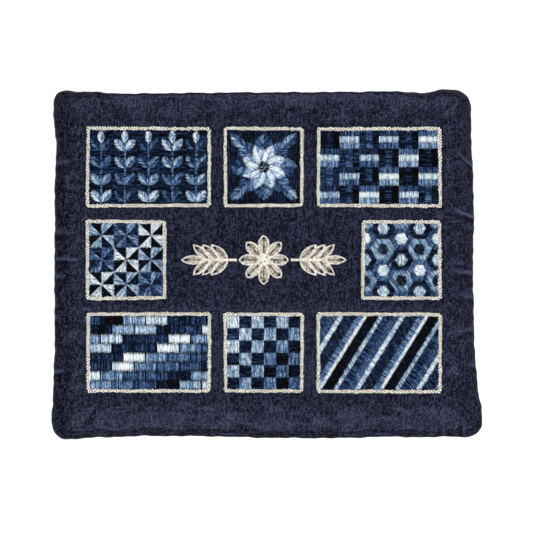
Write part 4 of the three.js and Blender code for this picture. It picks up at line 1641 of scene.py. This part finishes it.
@dataclass
class Rosette:
    """The round satin flower in the middle of the face."""

    petals: int = 8
    petal: Size = (13.3 * MM, 2.7 * MM, 0.8)
    eye: float = 3.2 * MM
    eye_lift: float = 0.4 * MM

    def build(self) -> None:
        """Sews the petals and the eye and lays their outlines."""
        centre = tuple(FIELD.middle)
        patches, lines = [], []
        for number in range(self.petals):
            angle = 2 * math.pi * number / self.petals
            patches += leaf_halves(self.petal, angle, (0.0, 0.0), SATIN_TONES, 0.0)
            lines.append(turned(leaf(*self.petal), angle, centre))
        patches.append(Patch(ring(self.eye, 20), 0.5, 0.6, 0.5 * MM))
        satin = SATIN.sew("rosette_satin", patches, centre, CREAM_THREAD, 31)
        hand_in(satin, CREAM_THREAD, "rosette")
        hand_in(FINE_CORD.lay("rosette_outline", lines, 32), CREAM_THREAD, "rosette")
        eye_line = [ring(self.eye, 24) + np.array(centre)]
        hand_in(FINE_CORD.lay("rosette_eye_cord", eye_line, 33, self.eye_lift), CREAM_THREAD, "rosette")


@dataclass
class Sprig:
    """A satin sprig beside the rosette: a stem with paired leaves and one at its tip."""

    name: str
    facing: float
    seed: int
    start: float = 15 * MM
    length: float = 20 * MM
    stem_width: float = 1.6 * MM
    leaf_size: Size = (12 * MM, 2.2 * MM, 0.45)
    pairs: int = 3
    first_leaf: float = 0.25
    leaf_angle: float = 0.75
    stem_turn: float = 1.1
    stem_tone: float = 0.8
    stem_lift: float = 0.1 * MM

    def stalks(self) -> list[tuple[Place, float]]:
        """Returns where each leaf starts along the stem and the way that it points."""
        found = []
        for pair in range(self.pairs):
            share = self.first_leaf + (1 - self.first_leaf) * pair / self.pairs
            place = (self.start + self.length * share, 0.0)
            found += [(place, self.leaf_angle), (place, -self.leaf_angle)]
        found.append(((self.start + self.length - self.stem_width, 0.0), 0.0))
        return found

    def build(self) -> None:
        """Sews the stem and leaves and lays their outlines."""
        centre = tuple(FIELD.middle)
        half = self.stem_width / 2
        stem = oblong(self.start, -half, self.start + self.length, half)
        stem = turned(stem, self.facing)
        patches = [Patch(stem, self.facing + self.stem_turn, self.stem_tone, self.stem_lift)]
        lines = []
        for place, angle in self.stalks():
            stalk = tuple(turned(np.array([place]), self.facing)[0])
            patches += leaf_halves(self.leaf_size, angle + self.facing, stalk, SATIN_TONES, 0.0)
            lines.append(turned(turned(leaf(*self.leaf_size), angle, place), self.facing, centre))
        satin = SATIN.sew(f"{self.name}_satin", patches, centre, CREAM_THREAD, self.seed)
        hand_in(satin, CREAM_THREAD, self.name)
        outline = FINE_CORD.lay(f"{self.name}_outline", lines, self.seed + 1)
        hand_in(outline, CREAM_THREAD, self.name)


@dataclass(frozen=True)
class CoilTree:
    """The node tree that sets a coil's loops along a tape's edge."""

    around: int = 9
    sides: int = 5
    slant: float = 0.35

    def build(self) -> bpy.types.NodeTree:
        """Builds the tree."""
        inputs = {
            "Edge": "NodeSocketGeometry",
            "Pitch": "NodeSocketFloat",
            "Loop": "NodeSocketVector",
            "Wire": "NodeSocketFloat",
            "Nylon": "NodeSocketMaterial",
        }
        tree = new_group("zip coil", inputs, {"Coil": "NodeSocketGeometry"}, "GeometryNodeTree")
        graph = Graph(tree)
        given = graph.node("NodeGroupInput").outputs
        edge = graph.node("GeometryNodeMeshToCurve", {"Mesh": given["Edge"]})
        steps = {"Curve": edge.outputs[0], "Length": given["Pitch"]}
        points = graph.node("GeometryNodeResampleCurve", steps, mode="LENGTH")
        upright = graph.node("GeometryNodeTransform", {
            "Geometry": graph.circle(self.around, 1.0),
            "Rotation": (0.0, math.pi / 2, self.slant),
            "Scale": given["Loop"],
        })
        loop = graph.node("GeometryNodeCurveToMesh", {
            "Curve": upright.outputs[0], "Profile Curve": graph.circle(self.sides, given["Wire"]),
        })
        laid = graph.node("GeometryNodeInstanceOnPoints", {
            "Points": points.outputs[0], "Instance": loop.outputs[0],
        })
        graph.put_out("Coil", laid.outputs[0], given["Nylon"])
        return tree


@dataclass
class ZipClosure:
    """The zip along the open mouth: a tape and a coil on each lip, the slider and its pull."""

    node: str = "zip_closure"
    inset: float = 1.2 * MM
    tape_width: float = 6.3 * MM
    tape_thickness: float = 0.6 * MM
    tape_rows: int = 6
    station_step: float = 2.0 * MM
    seat_gap: float = 0.3 * MM
    solid_tape: float = 0.9 * MM
    solid_coil: float = 1.0 * MM
    coil_depth: float = 1.6 * MM
    pitch: float = 1.35 * MM
    wire: float = 0.27 * MM
    slider_length: float = 8.5 * MM
    slider_depth: float = 4.4 * MM
    slider_bite: float = 0.5 * MM
    slider_from_end: float = 15 * MM
    slider_plate: float = 0.9 * MM
    pull_length: float = 18 * MM
    pull_width: float = 3.0 * MM
    pull_thickness: float = 1.1 * MM
    pull_recess: float = 1.0 * MM
    pull_bite: float = 1.0 * MM

    def stations(self) -> Array:
        """Returns places along the zip."""
        count = round((FORM.zip_right - FORM.zip_left) / self.station_step)
        return np.linspace(FORM.zip_left, FORM.zip_right, count + 1)

    def mouth_edge(self, x: Array) -> Array:
        """Returns the Y of the tapes' mouth edge."""
        return FORM.top_edge(x, FORM.wall) - self.inset

    def seat(self, panel: PanelForm, x: Array, y: Array) -> Array:
        """Returns the tape's height out from the seam's level."""
        return FORM.inner_height(panel, x, y) - self.seat_gap

    def rib_face(self, panel: PanelForm, x: float) -> float:
        """Returns the coil's inner height at a place along the zip, out from the seam."""
        place = np.array([x])
        seat = self.seat(panel, place, self.mouth_edge(place))[0]
        return FORM.seam_gap / 2 + seat - self.solid_tape - self.solid_coil

    def tapes(self) -> Piece:
        """Builds both tapes."""
        points, faces = [], []
        x, depth = np.meshgrid(self.stations(), np.linspace(0, self.tape_width, self.tape_rows))
        y = self.mouth_edge(x) - depth
        for panel in (FORM.front, FORM.back):
            z = FORM.level(panel, self.seat(panel, x, y))
            number = len(points) * x.size + np.arange(x.size).reshape(x.shape)
            quads = np.stack([number[:-1, :-1], number[1:, :-1], number[1:, 1:], number[:-1, 1:]], axis=-1)
            quads = quads.reshape(-1, 4)
            faces.append(quads if panel.way > 0 else quads[:, ::-1])
            points.append(np.stack([x, y, z], axis=-1).reshape(-1, 3))
        piece = mesh_object("zip_tapes", np.concatenate(points), np.concatenate(faces))
        wall = piece.modifiers.new("wall", "SOLIDIFY")
        wall.thickness = self.tape_thickness
        wall.offset = -1.0
        return hand_in(bake(piece), TAPE, self.node)

    def coils(self) -> Piece:
        """Sets both coils' loops along the tapes' edges."""
        points, edges = [], []
        x = self.stations()
        y = self.mouth_edge(x)
        for panel in (FORM.front, FORM.back):
            height = self.seat(panel, x, y) - self.tape_thickness - self.solid_coil / 2
            number = len(points) * len(x) + np.arange(len(x))
            edges.append(np.column_stack([number[:-1], number[1:]]))
            points.append(np.column_stack([x, y - self.coil_depth / 2, FORM.level(panel, height)]))
        piece = mesh_object("zip_coils", np.concatenate(points), edges=np.concatenate(edges))
        loop = (self.solid_coil / 2, self.coil_depth / 2, 1.0)
        grown(piece, CoilTree().build(), {
            "Pitch": self.pitch, "Loop": loop, "Wire": self.wire, "Nylon": material_of(TAPE),
        })
        return hand_in(smooth_shaded(piece), TAPE, self.node)

    def slider(self) -> Piece:
        """Builds the slider: a plate over each coil and the post between them."""
        right = FORM.zip_right - self.slider_from_end
        left = right - self.slider_length
        front = float(self.mouth_edge(np.array([left]))[0])
        low = FORM.seam_height - self.rib_face(FORM.back, left) - self.slider_bite
        high = FORM.seam_height + self.rib_face(FORM.front, left) + self.slider_bite
        middle = (left + right) / 2
        boxes = [
            ((left, front - self.slider_depth, low), (right, front, low + self.slider_plate)),
            ((left, front - self.slider_depth, high - self.slider_plate), (right, front, high)),
            ((middle - MM, front - 0.7 * self.slider_depth, low),
             (middle + 2 * MM, front - 0.3 * self.slider_depth, high)),
        ]
        return hand_in(bevelled_boxes("zip_slider", boxes, 0.35 * MM), TAPE, self.node)

    def pull(self) -> Piece:
        """Builds the pull, which droops from the slider to the lower coil."""
        left = FORM.zip_right - self.slider_from_end - self.slider_length
        front = float(self.mouth_edge(np.array([left]))[0])
        drop = self.rib_face(FORM.back, left - self.pull_length) - self.pull_thickness
        droop = math.asin(drop / self.pull_length)
        half = self.pull_thickness / 2
        box = ((-self.pull_length, -self.pull_width, -half), (self.pull_bite, 0, half))
        piece = bevelled_boxes("zip_pull", [box], 0.4 * MM)
        points = points_of(piece)
        x, z = points[:, 0].copy(), points[:, 2].copy()
        points[:, 0] = x * math.cos(droop) - z * math.sin(droop) + left
        points[:, 1] += front - self.pull_recess
        points[:, 2] = x * math.sin(droop) + z * math.cos(droop) + FORM.seam_height
        place_points(piece, points)
        return hand_in(piece, TAPE, self.node)

    def build(self) -> None:
        """Builds the zip's four pieces."""
        self.tapes()
        self.coils()
        self.slider()
        self.pull()


def bevelled_boxes(name: str, boxes: list[tuple[tuple, tuple]], radius: float) -> Piece:
    """Builds boxes with rounded edges as one piece.

    Args:
        name: The piece's name.
        boxes: Each box's lowest and highest corner.
        radius: How round the edges are.

    Returns:
        The piece.
    """
    shape = bmesh.new()
    for low, high in boxes:
        low, high = Vector(low), Vector(high)
        made = bmesh.ops.create_cube(shape, size=1.0)["verts"]
        for corner in made:
            shares = [part + 0.5 for part in corner.co]
            corner.co = Vector(low[axis] + shares[axis] * (high[axis] - low[axis]) for axis in range(3))
    bmesh.ops.bevel(shape, geom=list(shape.edges), offset=radius, segments=3, profile=0.5, affect="EDGES")
    mesh = bpy.data.meshes.new(name)
    shape.to_mesh(mesh)
    shape.free()
    return smooth_shaded(linked(name, mesh))


@dataclass(frozen=True)
class Lamp:
    """A soft light that faces the bag, leaning from straight above and turned from the mouth's side."""

    name: str
    lean: float
    turn: float
    power: float
    distance: float = 1.3
    size: Place = (1.1, 0.5)

    def hang(self) -> None:
        """Hangs the light."""
        lamp = bpy.data.lights.new(self.name, "AREA")
        lamp.shape = "RECTANGLE"
        lamp.size, lamp.size_y = self.size
        lamp.energy = self.power
        light = linked(self.name, lamp)
        out = self.distance * math.sin(self.lean)
        height = self.distance * math.cos(self.lean)
        light.location = (out * math.sin(self.turn), out * math.cos(self.turn), height)
        light.rotation_euler = (-self.lean, 0.0, -self.turn)


@dataclass
class Studio:
    """The pale floor, the soft lights and the camera straight above."""

    camera_place: Size = (-0.2 * MM, -1.2 * MM, 0.8304)
    lens: float = 100.0
    sensor: float = 36.0
    floor_size: float = 6.0
    floor_drop: float = 0.2 * MM
    floor_shade: float = 0.5
    floor_glow: float = 0.75
    fill: float = 0.14
    lamps: tuple[Lamp, ...] = (
        Lamp("top_light", math.radians(39), 0.0, 12.0),
        Lamp("bottom_light", math.radians(30), math.pi, 13.3),
        Lamp("right_light", math.radians(62), math.pi / 2, 2.8),
    )

    def camera(self) -> None:
        """Looks straight down at the middle of the bag."""
        lens = bpy.data.cameras.new("camera")
        lens.lens = self.lens
        lens.sensor_width = self.sensor
        lens.clip_start = 0.05
        camera = linked("camera", lens)
        camera.location = self.camera_place
        bpy.context.scene.camera = camera

    def lights(self) -> None:
        """Hangs the soft lights beyond the bag's edges, and fills in from all round."""
        world = bpy.data.worlds.new("studio")
        world.use_nodes = True
        sky = Graph(world.node_tree)
        seen = sky.node("ShaderNodeLightPath").outputs["Is Camera Ray"]
        strength = sky.spread(seen, 0.0, 1.0, self.fill, 1.0)
        background = sky.node("ShaderNodeBackground", {"Color": (1.0, 1.0, 1.0, 1.0), "Strength": strength})
        sky.node("ShaderNodeOutputWorld", {"Surface": background.outputs[0]})
        bpy.context.scene.world = world
        for lamp in self.lamps:
            lamp.hang()

    def floor(self) -> None:
        """Lays the pale floor just under the bag: white to the camera, it casts back less light."""
        half = self.floor_size / 2
        corners = oblong(-half, -half, half, half)
        points = np.column_stack([corners, np.full(4, -self.floor_drop)])
        piece = mesh_object("floor", points, [[0, 1, 2, 3]])
        material = bpy.data.materials.new("floor")
        material.use_nodes = True
        graph = Graph(material.node_tree)
        seen = graph.node("ShaderNodeLightPath").outputs["Is Camera Ray"]
        surface = graph.node("ShaderNodeBsdfPrincipled", {
            "Base Color": (self.floor_shade, self.floor_shade, self.floor_shade, 1.0),
            "Roughness": 1.0,
            "Specular IOR Level": 0.0,
            "Emission Color": (1.0, 1.0, 1.0, 1.0),
            "Emission Strength": graph.math("MULTIPLY", seen, self.floor_glow),
        })
        graph.node("ShaderNodeOutputMaterial", {"Surface": surface.outputs[0]})
        piece.data.materials.append(material)

    def build(self) -> None:
        """Sets up the studio."""
        self.camera()
        self.lights()
        self.floor()
        bpy.context.scene.view_settings.view_transform = "Standard"


def blocks() -> list[StitchedBlock]:
    """Returns the eight blocks round the rosette."""
    return [
        StitchedBlock("leaves", Column.LEFT, Row.TOP, LeafRows(), MIDDLE_THREAD, 11),
        StitchedBlock("flower", Column.MIDDLE, Row.TOP, Flower(), DEEP_THREAD, 12),
        StitchedBlock("basket", Column.RIGHT, Row.TOP, Basket(), LIGHT_THREAD, 13),
        StitchedBlock("pinwheel", Column.FAR_LEFT, Row.CENTRE, Pinwheels(), LIGHT_THREAD, 14),
        StitchedBlock("honeycomb", Column.FAR_RIGHT, Row.CENTRE, Honeycomb(), DEEP_THREAD, 15),
        StitchedBlock("bricks", Column.LEFT, Row.BOTTOM, Bricks(), LIGHT_THREAD, 16),
        StitchedBlock("chequer", Column.MIDDLE, Row.BOTTOM, Chequer(), MIDDLE_THREAD, 17),
        StitchedBlock("stripes", Column.RIGHT, Row.BOTTOM, Stripes(), DEEP_THREAD, 18),
    ]


def main() -> None:
    """Builds the studio and the bag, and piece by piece."""
    logging.basicConfig(level=logging.INFO, format="%(message)s")
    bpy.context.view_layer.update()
    Studio().build()
    stitched = blocks()
    places = [block.place for block in stitched]
    ClothPanel("back_cloth", "back_panel", FORM.back, "floor", margin_step=1.8 * MM).build()
    ClothPanel("front_cloth", "front_panel", FORM.front, "back_cloth", places).build()
    for block in stitched:
        block.stitches()
        block.frame_cord()
    Rosette().build()
    Sprig("right_sprig", 0.0, 41).build()
    Sprig("left_sprig", math.pi, 43).build()
    ZipClosure().build()


if __name__ == "__main__":
    main()
